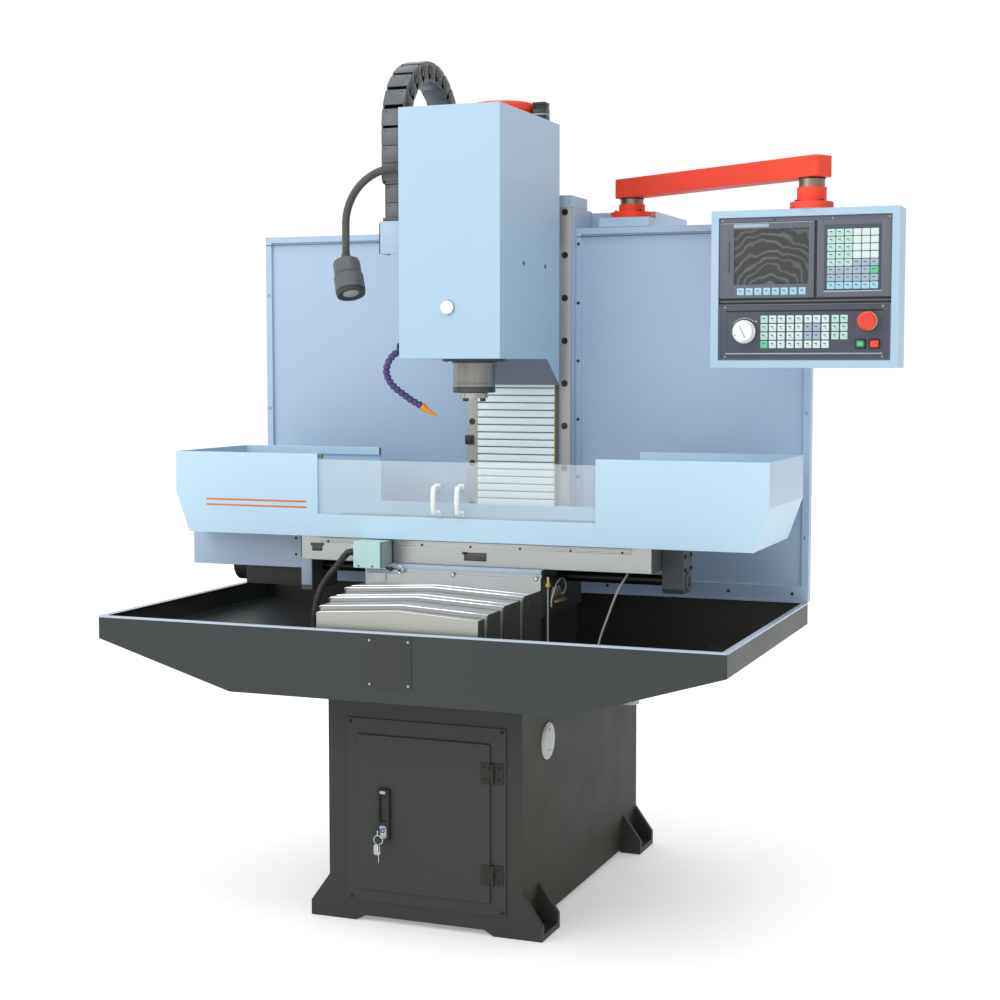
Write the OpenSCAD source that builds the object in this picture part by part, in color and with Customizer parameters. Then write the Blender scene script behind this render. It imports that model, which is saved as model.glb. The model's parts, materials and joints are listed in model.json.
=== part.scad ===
// CNC milling machine: bed-type vertical mill with a moving saddle and table, a head that slides
// on the column, a chip tray on a base cabinet and a control box on a swinging arm.
// X runs to the operator's right, -Y faces the operator, Z is up.
// The origin is on the floor, in the middle of the four feet.

/* [Base cabinet] */
// Width of the cabinet body across X
base_w = 488; // [440:4:560]
// Depth of the cabinet body along Y
base_d = 892; // [820:4:960]
// Height of the cabinet body
base_h = 560; // [500:5:640]
// Wall of the cabinet
base_wall = 6; // [4:1:10]
// Reach of each foot beyond the cabinet side
foot_flare = 49; // [36:1:70]
// Length of each foot along Y
foot_len = 122; // [100:2:160]
// Height of a foot's upright outer edge
foot_edge_h = 36; // [24:1:50]
// Height where a foot's slope meets the side
foot_top = 104; // [80:1:140]
// Thickness of a foot's two ribs
foot_rib = 14; // [10:1:20]
// Diameter of the anchor holes in the feet
anchor_d = 18; // [14:1:24]
// Clear height under the walls between the feet
arch_h = 13; // [8:1:24]
// Width of the base door
door_w = 332; // [280:2:350]
// Height of the base door
door_h = 368; // [300:2:380]
// Height of the door's lower edge above the floor
door_z = 79; // [70:1:120]
// Width of the rim of the door frame plate around the door
door_rim = 30; // [20:1:36]

/* [Coolant tank] */
// Length of the tank from front to back
tank_l = 430; // [380:5:480]
// Width of the tank
tank_w = 360; // [320:5:400]
// Height of the tank
tank_h = 190; // [150:5:220]
// Wall of the tank
tank_wall = 4; // [3:0.5:6]
// Distance from the cabinet's front to the tank
tank_gap = 130; // [120:5:160]
// Diameter of the pump's motor
pump_d = 104; // [90:2:120]

/* [Chip tray] */
// Length of the chip tray across X
tray_w = 1518; // [1380:2:1700]
// Distance of the tray's front face from the origin
tray_front = 621; // [605:1:700]
// Depth of the tray from rim to floor
tray_h = 158; // [140:1:190]
// Height of the tray's upright lip at its ends
tray_lip = 54; // [40:1:80]
// Length of the tray's flat floor
tray_flat = 818; // [700:2:1000]
// Thickness of sheet metal
sheet = 3; // [2:0.5:4]

/* [Bed and saddle] */
// Width of the bed casting
bed_w = 300; // [260:2:360]
// Height of the bed casting above the tray floor
bed_h = 127; // [110:1:150]
// Height of the guide rails on the bed
rail_h = 26; // [20:1:34]
// Width of the saddle
saddle_w = 454; // [420:2:500]
// Length of the saddle along Y
saddle_l = 292; // [270:2:310]
// Height of the saddle
saddle_h = 112.4; // [100:0.4:130]
// Distance of the saddle's front face from the origin
saddle_front = 272; // [266:1:290]
// Diameter of the ball screws
screw_d = 25; // [20:1:32]

/* [Table] */
// Length of the table
table_l = 900; // [820:10:1000]
// Width of the table
table_w = 250; // [230:2:260]
// Thickness of the table
table_t = 96; // [80:1:110]
// Distance of the table's middle to the right of the spindle
table_x = 39; // [0:1:60]
// Width of a T-slot's throat
slot_w = 14; // [12:1:16]
// Spacing of the T-slots
slot_pitch = 63; // [50:1:70]

/* [Table guard] */
// Length of the guard around the table
guard_l = 1522; // [1400:2:1640]
// Depth of the guard around the table
guard_d = 367; // [355:1:375]
// Height of the guard from its lower edge to its rim
guard_h = 203; // [180:1:215]
// Height of the slope at the guard's lower edge
guard_slope_h = 101; // [80:1:110]
// Inward step of that slope at each end
guard_slope_in = 36; // [20:1:36]
// Length of the window opening
window_l = 715; // [640:5:760]
// Height of the window sill above the guard's lower edge
sill_h = 55; // [40:1:70]

/* [Column and head] */
// Width of the column
column_w = 292; // [280:2:320]
// Distance of the slide face of the ways behind the origin
ways_y = 171; // [168:1:176]
// Height of the column's top above the floor
column_top = 1712; // [1680:2:1780]
// Width of a way strip
strip_w = 35; // [28:1:40]
// Distance of the spindle axis in front of the origin
spindle_y = 130; // [120:1:140]
// Width of the head cover
head_w = 258; // [236:2:262]
// Distance of the head cover's front face from the origin
head_front = 288; // [270:1:300]
// Distance of the head cover's rear edge behind the origin
head_back = 129; // [120:1:134]
// Height of the head cover
head_h = 591; // [560:1:640]
// Height of the head cover's bottom above the floor at rest
head_z = 1323; // [1318:1:1340]
// Diameter of the spindle quill
quill_d = 102; // [90:1:110]
// Diameter of the spindle nose
nose_d = 67; // [60:1:74]
// Gauge diameter of the spindle taper
taper_d = 31.75; // [31.75:12.7:44.45]
// Diameter of the drawbar bore above the taper
drawbar_d = 17; // [13:1:18]

/* [Back panel and electrical cabinet] */
// Height of the back panel above the tray rim
panel_h = 941; // [880:1:980]
// Depth of the back panel's folded edge
panel_d = 30; // [20:1:40]
// Width of the electrical cabinet
cabinet_w = 640; // [560:5:720]
// Depth of the electrical cabinet
cabinet_d = 310; // [240:5:360]
// Height of the electrical cabinet
cabinet_h = 948; // [900:2:990]

/* [Control arm and box] */
// Distance of the arm's pivot to the right of the origin
arm_x = 274; // [262:1:300]
// Distance of the arm's pivot behind the origin
arm_y = 280; // [272:1:284]
// Length of the arm between its two pivots
arm_l = 623; // [600:1:660]
// Turn of the arm towards the front at rest
arm_turn = 31.4; // [28:0.1:34]
// Height of the arm beam
beam_h = 48; // [40:1:60]
// Width of the arm beam
beam_w = 60; // [50:1:70]
// Width of the control box
box_w = 435; // [420:1:440]
// Height of the control box
box_h = 364; // [350:1:380]
// Depth of the control box
box_d = 85; // [74:1:92]

/* [Drag chain] */
// Outer radius of the drag chain's bend
chain_r = 181; // [177:1:185]
// Height of the chain's links across the bend
chain_h = 50; // [44:1:52]
// Width of the drag chain
chain_w = 60; // [50:1:62]

/* [Hidden] */
$fn = 48;
run = 0.3;                 // gap between sliding faces
fit = 0.05;                // radial gap of a shaft in its bore

// heights of the stack from the floor up to the table
tray_floor = base_h + sheet;
tray_rim = base_h + tray_h;
bed_top = tray_floor + bed_h;
rail_top = bed_top + rail_h;
saddle_z = rail_top + run;
saddle_top = saddle_z + saddle_h;
table_z = saddle_top + run;
table_top = table_z + table_t;
table_x0 = table_x - table_l / 2;
table_x1 = table_x + table_l / 2;
table_y = -spindle_y;
table_y0 = table_y - table_w / 2;
table_y1 = table_y + table_w / 2;

// base door and its frame plate
door_x = 2;
door_x0 = door_x - door_w / 2;
door_x1 = door_x + door_w / 2;
door_t = 4;
base_y0 = -base_d / 2;
cabinet_floor = door_z - 15;
frame_y = base_y0 - sheet;
hinge_d = 9;
hinge_len = 48;
hinge_x = door_x1 + 6;
hinge_y = frame_y - hinge_d / 2;
hinge_zs = [door_z + 65, door_z + door_h - 67];
lock_x = door_x0 + 68;
lock_z = door_z + 147;
plate_t = 9;               // thickness of the lock's handle plate

// column
column_y0 = ways_y + 12;
column_y1 = column_y0 + 157;
column_wall = 14;
screw_y = column_y0 + 55;
strip_x = column_w / 2 - 2;
strip_z0 = bed_top + 60;
panel_y = 207.5;
panel_top = tray_rim + panel_h;
cap_h = 29;

// feed screws
x_screw_z = saddle_top - 28;
y_screw_z = bed_top - 45;
y_nut_y = table_y;
z_nut_z = head_z + 100;
motor_s = 110;

// telescopic cover over the saddle's ways, smallest section in front
cover_y = [-592, -560, -490, -390];
cover_len = [90, 110, 132];
cover_step = 10;
cover_half = saddle_w / 2 - cover_step * 3;
cover_eave = saddle_top - 47 - cover_step * 3;
cover_peak = 12;
cover_foot = tray_floor + 40;
front_plate_y = -saddle_front - 5;

// guard around the table
guard_x0 = 6 - guard_l / 2;
guard_x1 = 6 + guard_l / 2;
guard_y0 = table_y0 - 22;
guard_y1 = guard_y0 + guard_d;
guard_z = table_z + 60;
guard_top = guard_z + guard_h;
window_x0 = 2.5 - window_l / 2;
window_x1 = 2.5 + window_l / 2;
sill_z = guard_z + sill_h;
pane_y = guard_y0 + sheet + 3;
pane_t = 4;
pane_top = guard_top - 14;
pane_mid = 2;

// head
head_x = head_w / 2;
skin = 2.5;
skirt_y = 36;
skirt_drop = 66;
head_top = head_z + head_h;
slide_w = 226;
motor_y = 68;
motor_d = 140;
cowl_d = 165;
shelf_z = head_z + 273;
pulley_z = head_z + 212;
pulley_h = 50;
pulley_d = 84;
belt_t = 4;
belt_h = 40;
quill_z = head_z - 82;
nose_h = 13;
shaft_d = 50;
flange_d = 158;
flange_t = 7;

// drag chain: the bend's middle, its straight tails and the two legs inside them
chain_x1 = -head_x - 10;
chain_x0 = chain_x1 - chain_w;
bend_y = -54;
bend_z = head_top - 39;
band = 2;                  // height of a link's raised band
chain_wall = 4;
link_n = 11;               // links around the bend
tail_n = 3;                // links in each straight tail
link_l = 42;
tail_l = tail_n * link_l;
leg_gap = 3;
tongue_h = 18;             // thickness of a leg's thin upper end
front_drop = 222;          // from the bend's middle down to the front leg's bracket
rear_drop = 252;           // from the bend's middle down to the rear leg's bracket
front_reach = 0;           // top of the front leg's tongue, from the bend's middle
rear_reach = -46;          // top of the rear leg's tongue, from the bend's middle
tongue_l = 44;

// work lamp: the arm leaves the head's side, turns down and ends in the lamp
lamp_y = -head_front + 31;
lamp_z = head_top - 138;
lamp_d = 20;
lamp_run = 24;
lamp_bend = 130;
lamp_drop = 89;
lamp_tilt = 12;
lamp_lean = 16;            // lean of the lamp's face towards the front
lamp_x = -head_x - lamp_run - lamp_bend;
lamp_head_z = lamp_z - lamp_bend - lamp_drop;

// coolant hose: middles of its segments, chosen by hand along its curve
hose_pts = [[-158, -210, 1341], [-164, -230, 1337], [-175, -240, 1322], [-181, -244, 1306],
            [-183, -243, 1289], [-178, -240, 1272], [-167, -236, 1256], [-153, -229, 1243],
            [-139, -221, 1231], [-125, -214, 1220], [-110, -208, 1211]];
nozzle_end = [-74, -194, 1184];
hose_d = 18;

// control arm
ped_z = panel_top + 25;
flange_h = 17;
hub_h = 20;
ring_h = 17;
hub_d = 68;
ring_d = 60;
pin_d = 30;
beam_z = ped_z + flange_h + hub_h + ring_h + run;
tip_x = arm_x + arm_l * cos(arm_turn);
tip_y = arm_y - arm_l * sin(arm_turn);
tip_hub_h = 34;
tip_ring_h = 22;
tip_flange_h = 17;
box_top = beam_z - run - tip_ring_h - tip_hub_h - tip_flange_h;
box_z = box_top - box_h;
box_x0 = tip_x - 8 - box_w / 2;
box_x1 = box_x0 + box_w;
box_y0 = tip_y - box_d / 2 - 2.5;
box_y1 = box_y0 + box_d;

// operator panels in the control box
rim = 18;
recess = 5;
face_y = box_y0 + recess;
panel_x0 = box_x0 + rim;
panel_x1 = box_x1 - rim;
face_top = box_top - rim + 1;
face_z = box_z + rim;
lower_h = 143;
split_z = face_z + lower_h;
face_t = 4;
knob_x = panel_x0 + 62;
knob_z = face_z + 66;
stop_x = panel_x1 - 52;
stop_z = face_z + 89;

// electrical cabinet on the back of the column
cabinet_z = y_screw_z + motor_s / 2 + 60;
cabinet_y1 = column_y1 + cabinet_d;
rear_hinge_x = cabinet_w / 2 - 8;

// A block between two corners
module block(x0, x1, y0, y1, z0, z1) {
    translate([x0, y0, z0]) cube([x1 - x0, y1 - y0, z1 - z0]);
}
// Round bars along the three axes
module bar_x(d, x0, x1, y, z) { translate([x0, y, z]) rotate([0, 90, 0]) cylinder(d = d, h = x1 - x0); }
module bar_y(d, y0, y1, x, z) { translate([x, y1, z]) rotate([90, 0, 0]) cylinder(d = d, h = y1 - y0); }
module bar_z(d, z0, z1, x, y) { translate([x, y, z0]) cylinder(d = d, h = z1 - z0); }
// An outline in XZ carried along Y, and one in YZ carried along X
module along_y(y0, y1) { translate([0, y1, 0]) rotate([90, 0, 0]) linear_extrude(y1 - y0) children(); }
module along_x(x0, x1) { translate([x0, 0, 0]) rotate([90, 0, 90]) linear_extrude(x1 - x0) children(); }
// A copy on each side of the middle plane
module both_sides() { children(); mirror([1, 0, 0]) children(); }
module front_and_back() { children(); mirror([0, 1, 0]) children(); }

// Foot at the front left corner: a sloping block hollowed between two ribs, with an anchor hole
module foot() {
    side = -base_w / 2;
    difference() {
        along_y(base_y0, base_y0 + foot_len)
            polygon([[side + base_wall, 0], [side - foot_flare, 0], [side - foot_flare, foot_edge_h],
                     [side, foot_top], [side + base_wall, foot_top]]);
        block(side - foot_flare - 1, side, base_y0 + foot_rib, base_y0 + foot_len - foot_rib,
              foot_rib, foot_top + 1);
        bar_z(anchor_d, -1, foot_rib + 1, side - foot_flare / 2, base_y0 + foot_len / 2);
    }
}

// Cabinet: four walls, top and bottom plates, and a foot at each corner
module base_cabinet() {
    color([0.28, 0.29, 0.27]) union() {
        difference() {
            block(-base_w / 2, base_w / 2, base_y0, -base_y0, 0, base_h);
            block(-base_w / 2 + base_wall, base_w / 2 - base_wall, base_y0 + base_wall,
                  -base_y0 - base_wall, cabinet_floor, base_h - base_wall);
            block(-base_w / 2 + base_wall, base_w / 2 - base_wall, base_y0 + base_wall,
                  -base_y0 - base_wall, -1, cabinet_floor - base_wall);
            // arch between the feet on all four sides
            along_y(base_y0 - 1, -base_y0 + 1)
                polygon([[-175, -1], [-175, 0], [-150, arch_h], [150, arch_h], [175, 0], [175, -1]]);
            along_x(-base_w / 2 - 1, base_w / 2 + 1)
                polygon([[base_y0 + foot_len, -1], [base_y0 + foot_len, 0],
                         [base_y0 + foot_len + 25, arch_h], [-base_y0 - foot_len - 25, arch_h],
                         [-base_y0 - foot_len, 0], [-base_y0 - foot_len, -1]]);
            // door opening
            block(door_x0 + 6, door_x1 - 6, base_y0 - 1, base_y0 + base_wall + 1, door_z + 6,
                  door_z + door_h - 6);
        }
        both_sides() front_and_back() foot();
    }
}

// Door frame plate with the fixed hinge leaves and their pins
module door_frame() {
    color([0.27, 0.28, 0.26]) union() {
        difference() {
            block(door_x0 - door_rim, door_x1 + door_rim + 8, frame_y, base_y0, door_z - door_rim,
                  door_z + door_h + door_rim + 8);
            block(door_x0 + 6, door_x1 - 6, frame_y - 1, base_y0 + 1, door_z + 6, door_z + door_h - 6);
        }
        for (z = hinge_zs) {
            block(hinge_x + 6, hinge_x + 26, frame_y - 2, frame_y, z - hinge_len / 2, z + hinge_len / 2);
            for (z0 = [z - hinge_len / 2, z + 8])
                block(hinge_x, hinge_x + 7, frame_y - 2, frame_y, z0, z0 + hinge_len / 2 - 8);
            difference() {
                bar_z(hinge_d, z - hinge_len / 2, z + hinge_len / 2, hinge_x, hinge_y);
                bar_z(hinge_d + 1, z - 8, z + 8, hinge_x, hinge_y);
            }
            bar_z(5, z - 9, z + 9, hinge_x, hinge_y);
        }
    }
}

// Sheet door with the moving hinge leaves and the lock's handle plate
module base_door() {
    y1 = frame_y - run;
    y0 = y1 - door_t;
    color([0.29, 0.3, 0.28]) difference() {
        union() {
            block(door_x0, door_x1, y0, y1, door_z, door_z + door_h);
            for (z = hinge_zs) {
                block(hinge_x - 28, hinge_x - 6, y0 - 2, y0, z - hinge_len / 2, z + hinge_len / 2);
                difference() {
                    union() {
                        bar_z(hinge_d, z - 7.8, z + 7.8, hinge_x, hinge_y);
                        block(hinge_x - 7, hinge_x, y0 - 2, y0, z - 7.8, z + 7.8);
                    }
                    bar_z(5 + 2 * fit, z - 9, z + 9, hinge_x, hinge_y);
                }
            }
        }
        bar_y(19, y0 - 3, y1 + 1, lock_x, lock_z);
    }
    color([0.12, 0.12, 0.13]) difference() {
        block(lock_x - 15, lock_x + 15, y0 - plate_t, y0, lock_z - 22, lock_z + 97);
        block(lock_x - 9, lock_x + 9, y0 - plate_t - 1, y0 - 4, lock_z + 20, lock_z + 86);
        bar_y(19, y0 - plate_t - 1, y0 + 1, lock_x, lock_z);
    }
}

// Lock cylinder with its key in front and its cam behind the door
module door_lock() {
    y0 = frame_y - run - door_t - plate_t;
    color([0.75, 0.75, 0.76]) {
        bar_y(19 - 2 * fit, y0 - 2, frame_y - run + 2, lock_x, lock_z);
        block(lock_x - 8, lock_x + 8, frame_y - run + 2, frame_y - run + 4, lock_z - 8, lock_z + 34);
        block(lock_x - 1, lock_x + 1, y0 - 10, y0 - 2, lock_z - 4, lock_z + 4);
        block(lock_x - 1, lock_x + 1, y0 - 32, y0 - 10, lock_z - 10, lock_z + 10);
    }
}

// Coolant tank standing on the cabinet's bottom plate
module coolant_tank() {
    y0 = base_y0 + tank_gap;
    color([0.5, 0.53, 0.55]) difference() {
        block(-tank_w / 2, tank_w / 2, y0, y0 + tank_l, cabinet_floor, cabinet_floor + tank_h);
        block(-tank_w / 2 + tank_wall, tank_w / 2 - tank_wall, y0 + tank_wall,
              y0 + tank_l - tank_wall, cabinet_floor + tank_wall, cabinet_floor + tank_h + 1);
    }
}
// Coolant pump standing on the tank's floor: foot, riser, flange and motor
module coolant_pump() {
    x = tank_w / 4;
    y = base_y0 + tank_gap + tank_l - pump_d;
    z0 = cabinet_floor + tank_wall;
    flange_z = cabinet_floor + tank_h + 40;
    color([0.16, 0.3, 0.42]) {
        bar_z(pump_d + 6, z0, z0 + 60, x, y);
        bar_z(pump_d / 2, z0 + 60, flange_z, x, y);
        bar_z(pump_d + 22, flange_z, flange_z + 16, x, y);
        bar_z(pump_d, flange_z + 16, flange_z + 150, x, y);
    }
}

// Outline of the tray seen from the front
function tray_shape(t) = [[-tray_w / 2 + t, tray_rim + 1], [-tray_w / 2 + t, tray_rim - tray_lip + t / 3],
    [-tray_flat / 2 + t / 3, base_h + t], [tray_flat / 2 - t / 3, base_h + t],
    [tray_w / 2 - t, tray_rim - tray_lip + t / 3], [tray_w / 2 - t, tray_rim + 1]];
// Chip tray: folded sheet with sloping floor wings, a collar opening for the bed and a spout
module chip_tray() {
    color([0.29, 0.31, 0.33]) union() {
        difference() {
            along_y(-tray_front, panel_y) polygon(tray_shape(0));
            along_y(-tray_front + sheet, panel_y - sheet) polygon(tray_shape(sheet));
            block(-tray_w, tray_w, -tray_front - 1, panel_y + 1, tray_rim, tray_rim + 2);
            block(-bed_w / 2 - run, bed_w / 2 + run, 0, panel_y + 1, tray_floor, tray_rim);
        }
        // folded rim
        difference() {
            block(-tray_w / 2, tray_w / 2, -tray_front, panel_y, tray_rim - sheet, tray_rim);
            block(-tray_w / 2 + 14, tray_w / 2 - 14, -tray_front + 14, panel_y - 14,
                  tray_rim - sheet - 1, tray_rim + 1);
            block(-bed_w / 2 - run, bed_w / 2 + run, 0, panel_y + 1, tray_rim - sheet - 1,
                  tray_rim + 1);
        }
        // drain spout under the right wing
        difference() {
            bar_z(50, base_h - 110, base_h + 40, base_w / 2 + 78, 120);
            bar_z(42, base_h - 111, base_h + 41, base_w / 2 + 78, 120);
            along_y(-1, panel_y - 1) polygon(tray_shape(sheet));
        }
    }
}

// Blank plate riveted to the tray's front
module blank_plate() {
    z = tray_rim - 67;
    color([0.26, 0.28, 0.3]) {
        block(-60, 50, -tray_front - 1.5, -tray_front, z - 57, z + 57);
        for (x = [-52, 42], dz = [-49, 49]) bar_y(6, -tray_front - 3, -tray_front - 1.5, x, z + dz);
    }
}

// Round cap on the cabinet's right side
module side_cap() {
    x = base_w / 2;
    color([0.92, 0.93, 0.93]) difference() {
        union() {
            bar_x(88, x, x + 3, -275, 427);
            bar_x(76, x + 3, x + 5, -275, 427);
        }
        bar_x(8, x + 2, x + 6, -275, 455);
    }
}

// Bed casting: two walls joined by a floor and end walls, with guide rails and screw bearings
module bed() {
    y0 = -tray_front + 51;
    y1 = column_y1 + 60;
    color([0.24, 0.26, 0.28]) difference() {
        union() {
            block(-bed_w / 2, bed_w / 2, y0, panel_y, tray_floor, bed_top);
            block(-bed_w / 2, bed_w / 2, panel_y, y1, base_h, bed_top);
        }
        block(-60, 60, y0 + 30, y1 - 30, tray_floor + 20, bed_top + 1);
        bar_y(screw_d + 2 * fit, y0 - 1, y1 + 1, 0, y_screw_z);
    }
    color([0.7, 0.71, 0.7]) both_sides()
        block(bed_w / 2 - 50, bed_w / 2 - 20, y0 + 4, column_y0 - 6, bed_top, rail_top);
}

// Column: hollow box with an open channel in front for the screw and the head's nut
module column() {
    color([0.66, 0.73, 0.84]) difference() {
        union() {
            block(-column_w / 2, column_w / 2, column_y0, column_y1, bed_top, column_top);
            block(-100, 100, ways_y - 18, column_y0 + 1, strip_z0 + 14, strip_z0 + 20);
        }
        block(-column_w / 2 + column_wall, column_w / 2 - column_wall, column_y0 + 30,
              column_y1 - column_wall, bed_top + 60, column_top - 40);
        block(-70, 70, column_y0 - 1, column_y0 + 31, bed_top + 110, column_top - 40);
        bar_z(screw_d + 2 * fit, bed_top + 20, column_top + 1, 0, screw_y);
    }
}

// Two hardened way strips on the column's front with counterbored screw holes
module way_strips() {
    pitch = 105;
    color([0.72, 0.73, 0.72]) both_sides() difference() {
        block(strip_x - strip_w, strip_x, ways_y, column_y0, strip_z0, column_top);
        for (z = [strip_z0 + 40 : pitch : column_top - 10])
            translate([strip_x - strip_w / 2 + 2, 0, z]) {
                bar_y(14, ways_y - 1, ways_y + 8, 0, 0);
                bar_y(9, ways_y - 1, column_y0 + 1, 0, 0);
            }
    }
}

// Bearing plate on the column's top that carries the lift motor
module column_cap() {
    color([0.68, 0.76, 0.86]) difference() {
        block(-column_w / 2, column_w / 2, ways_y + 1, column_y1 - 40, column_top, column_top + cap_h);
        bar_z(screw_d + 2 * fit, column_top - 1, column_top + cap_h + 1, 0, screw_y);
    }
}

// Back panel, right half: a folded pan with a narrow rim around a set-back face
module panel_half(x0, x1) {
    z0 = tray_rim;
    color([0.68, 0.77, 0.87]) difference() {
        block(x0, x1, panel_y, panel_y + panel_d, z0, panel_top);
        block(x0 + 14, x1 - 18, panel_y - 1, panel_y + 8, z0 + 40, panel_top - 16);
        block(x0 + sheet, x1 - sheet, panel_y + 8 + sheet, panel_y + panel_d + 1, z0 + sheet,
              panel_top - sheet);
    }
}
module back_panel_right() { panel_half(column_w / 2, tray_w / 2); }
module back_panel_left() { mirror([1, 0, 0]) panel_half(column_w / 2, tray_w / 2); }

// Electrical cabinet on the column's back, open to the rear behind its door
module electrical_cabinet() {
    color([0.68, 0.77, 0.87]) difference() {
        block(-cabinet_w / 2, cabinet_w / 2, column_y1, cabinet_y1, cabinet_z, cabinet_z + cabinet_h);
        block(-cabinet_w / 2 + sheet, cabinet_w / 2 - sheet, column_y1 + sheet, cabinet_y1 - sheet,
              cabinet_z + sheet, cabinet_z + cabinet_h - sheet);
        block(-cabinet_w / 2 + 24, cabinet_w / 2 - 24, cabinet_y1 - 20, cabinet_y1 + 1,
              cabinet_z + 24, cabinet_z + cabinet_h - 24);
    }
    color([0.68, 0.77, 0.87]) for (z = [cabinet_z + 120, cabinet_z + cabinet_h - 120]) {
        bar_z(5, z - 30, z + 30, rear_hinge_x, cabinet_y1 + 7);
        for (s = [-1, 1]) translate([0, 0, z + s * 22])
            block(rear_hinge_x - 5, rear_hinge_x + 5, cabinet_y1, cabinet_y1 + 12, -8, 8);
    }
}

// Rear door of the electrical cabinet with its hinge eyes and handle
module cabinet_door() {
    y0 = cabinet_y1 + run;
    color([0.66, 0.75, 0.85]) difference() {
        union() {
            block(-cabinet_w / 2 + 8, rear_hinge_x - 8, y0, y0 + 14, cabinet_z + 8,
                  cabinet_z + cabinet_h - 8);
            for (z = [cabinet_z + 120, cabinet_z + cabinet_h - 120]) {
                bar_z(10, z - 13, z + 13, rear_hinge_x, cabinet_y1 + 7);
                block(rear_hinge_x - 9, rear_hinge_x, cabinet_y1 + 2, cabinet_y1 + 12, z - 13, z + 13);
            }
            block(-cabinet_w / 2 + 40, -cabinet_w / 2 + 66, y0 + 14, y0 + 30, cabinet_z + 400,
                  cabinet_z + 540);
        }
        block(-cabinet_w / 2 + 11, rear_hinge_x - 11, y0 - 1, y0 + 11, cabinet_z + 11,
              cabinet_z + cabinet_h - 11);
        for (z = [cabinet_z + 120, cabinet_z + cabinet_h - 120])
            bar_z(5 + 2 * fit, z - 40, z + 40, rear_hinge_x, cabinet_y1 + 7);
    }
}

// Bracket on the cabinet's front that carries the swinging arm
module arm_bracket() {
    color([0.68, 0.77, 0.87]) difference() {
        block(arm_x - 66, arm_x + 66, panel_y + 3, column_y1, panel_top + 1, ped_z);
        block(arm_x - 60, arm_x + 60, panel_y + 9, column_y1 - 6, panel_top, ped_z - 8);
        bar_z(pin_d + 2 * fit, ped_z - 20, ped_z + 1, arm_x, arm_y);
    }
    color([0.86, 0.26, 0.18]) difference() {
        union() {
            bar_z(108, ped_z, ped_z + flange_h, arm_x, arm_y);
            bar_z(hub_d, ped_z + flange_h, ped_z + flange_h + hub_h, arm_x, arm_y);
            bar_z(ring_d, ped_z + flange_h + hub_h, ped_z + flange_h + hub_h + ring_h, arm_x, arm_y);
        }
        bar_z(pin_d + 2 * fit, ped_z - 1, beam_z, arm_x, arm_y);
    }
}

// Servo motor with a square flange and body, standing on z = 0
module servo(len) {
    translate([-motor_s / 2, -motor_s / 2, 0]) cube([motor_s, motor_s, 14]);
    translate([-motor_s / 2 + 6, -motor_s / 2 + 6, 14]) cube([motor_s - 12, motor_s - 12, len - 54]);
    cylinder(d = motor_s - 20, h = len);
}
module y_motor() {
    color([0.1, 0.1, 0.11])
        translate([0, column_y1 + 60 + run, y_screw_z]) rotate([-90, 0, 0]) difference() {
            servo(150);
            translate([0, 0, -1]) cylinder(d = screw_d + 1, h = 32);
        }
}
module z_motor() {
    color([0.1, 0.1, 0.11]) translate([0, screw_y, column_top + cap_h]) difference() {
        servo(170);
        translate([0, 0, -1]) cylinder(d = screw_d + 1, h = 32);
    }
}
module y_screw() {
    color([0.75, 0.76, 0.75]) bar_y(screw_d, -tray_front + 53, column_y1 + 80, 0, y_screw_z);
}
module z_screw() {
    color([0.75, 0.76, 0.75]) bar_z(screw_d, bed_top + 20, column_top + cap_h + 20, 0, screw_y);
}

// Outline of telescopic cover section i, shrunk by t
function cover_shape(i, t, foot) =
    let(half = cover_half + cover_step * i - t, eave = cover_eave + cover_step * i - t)
    [[-half, foot], [-half, eave], [0, eave + cover_peak], [half, eave], [half, foot]];
// One telescopic cover section: side walls under a low ridged roof. Its front edge is folded
// inwards and runs on the next smaller section.
module cover_section(i, y1) {
    y0 = cover_y[i];
    lip = i == 0 ? sheet : cover_step - run;
    color([0.74, 0.75, 0.74]) difference() {
        along_y(y0, y1) polygon(cover_shape(i, 0, cover_foot));
        along_y(y0 + 4, y1 + 1) polygon(cover_shape(i, sheet, cover_foot - 1));
        along_y(y0 - 1, y0 + 5) polygon(cover_shape(i, lip, cover_foot - 1));
    }
}
module cover_section_1() {
    cover_section(0, cover_y[0] + cover_len[0]);
    color([0.74, 0.75, 0.74]) along_y(cover_y[0] - sheet, cover_y[0])
        polygon(cover_shape(0, 0, tray_floor));
}
module cover_section_2() { cover_section(1, cover_y[1] + cover_len[1]); }
module cover_section_3() { cover_section(2, cover_y[2] + cover_len[2]); }
module cover_section_4() { cover_section(3, front_plate_y); }

// Saddle: block on the bed rails with a channel for the table's screw, two nut blocks and a
// bright front plate that closes the telescopic cover
module saddle() {
    hw = saddle_w / 2;
    color([0.62, 0.68, 0.76]) difference() {
        union() {
            difference() {
                block(-hw, hw, -saddle_front, -saddle_front + saddle_l, saddle_z, saddle_top);
                block(-hw - 1, hw + 1, table_y - 25, table_y + 25, x_screw_z - 20, saddle_top + 1);
            }
            block(-45, 45, table_y - 25, table_y + 25, x_screw_z - 20, saddle_top - 6);
            block(-40, 40, y_nut_y - 35, y_nut_y + 35, y_screw_z - 26, saddle_z);
        }
        bar_x(screw_d + 2 * run, -46, 46, table_y, x_screw_z);
        bar_y(screw_d + 2 * run, y_nut_y - 36, y_nut_y + 36, 0, y_screw_z);
    }
    color([0.74, 0.75, 0.74])
        block(-hw, hw, front_plate_y, -saddle_front, saddle_z + 4, saddle_top - 19);
}

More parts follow.
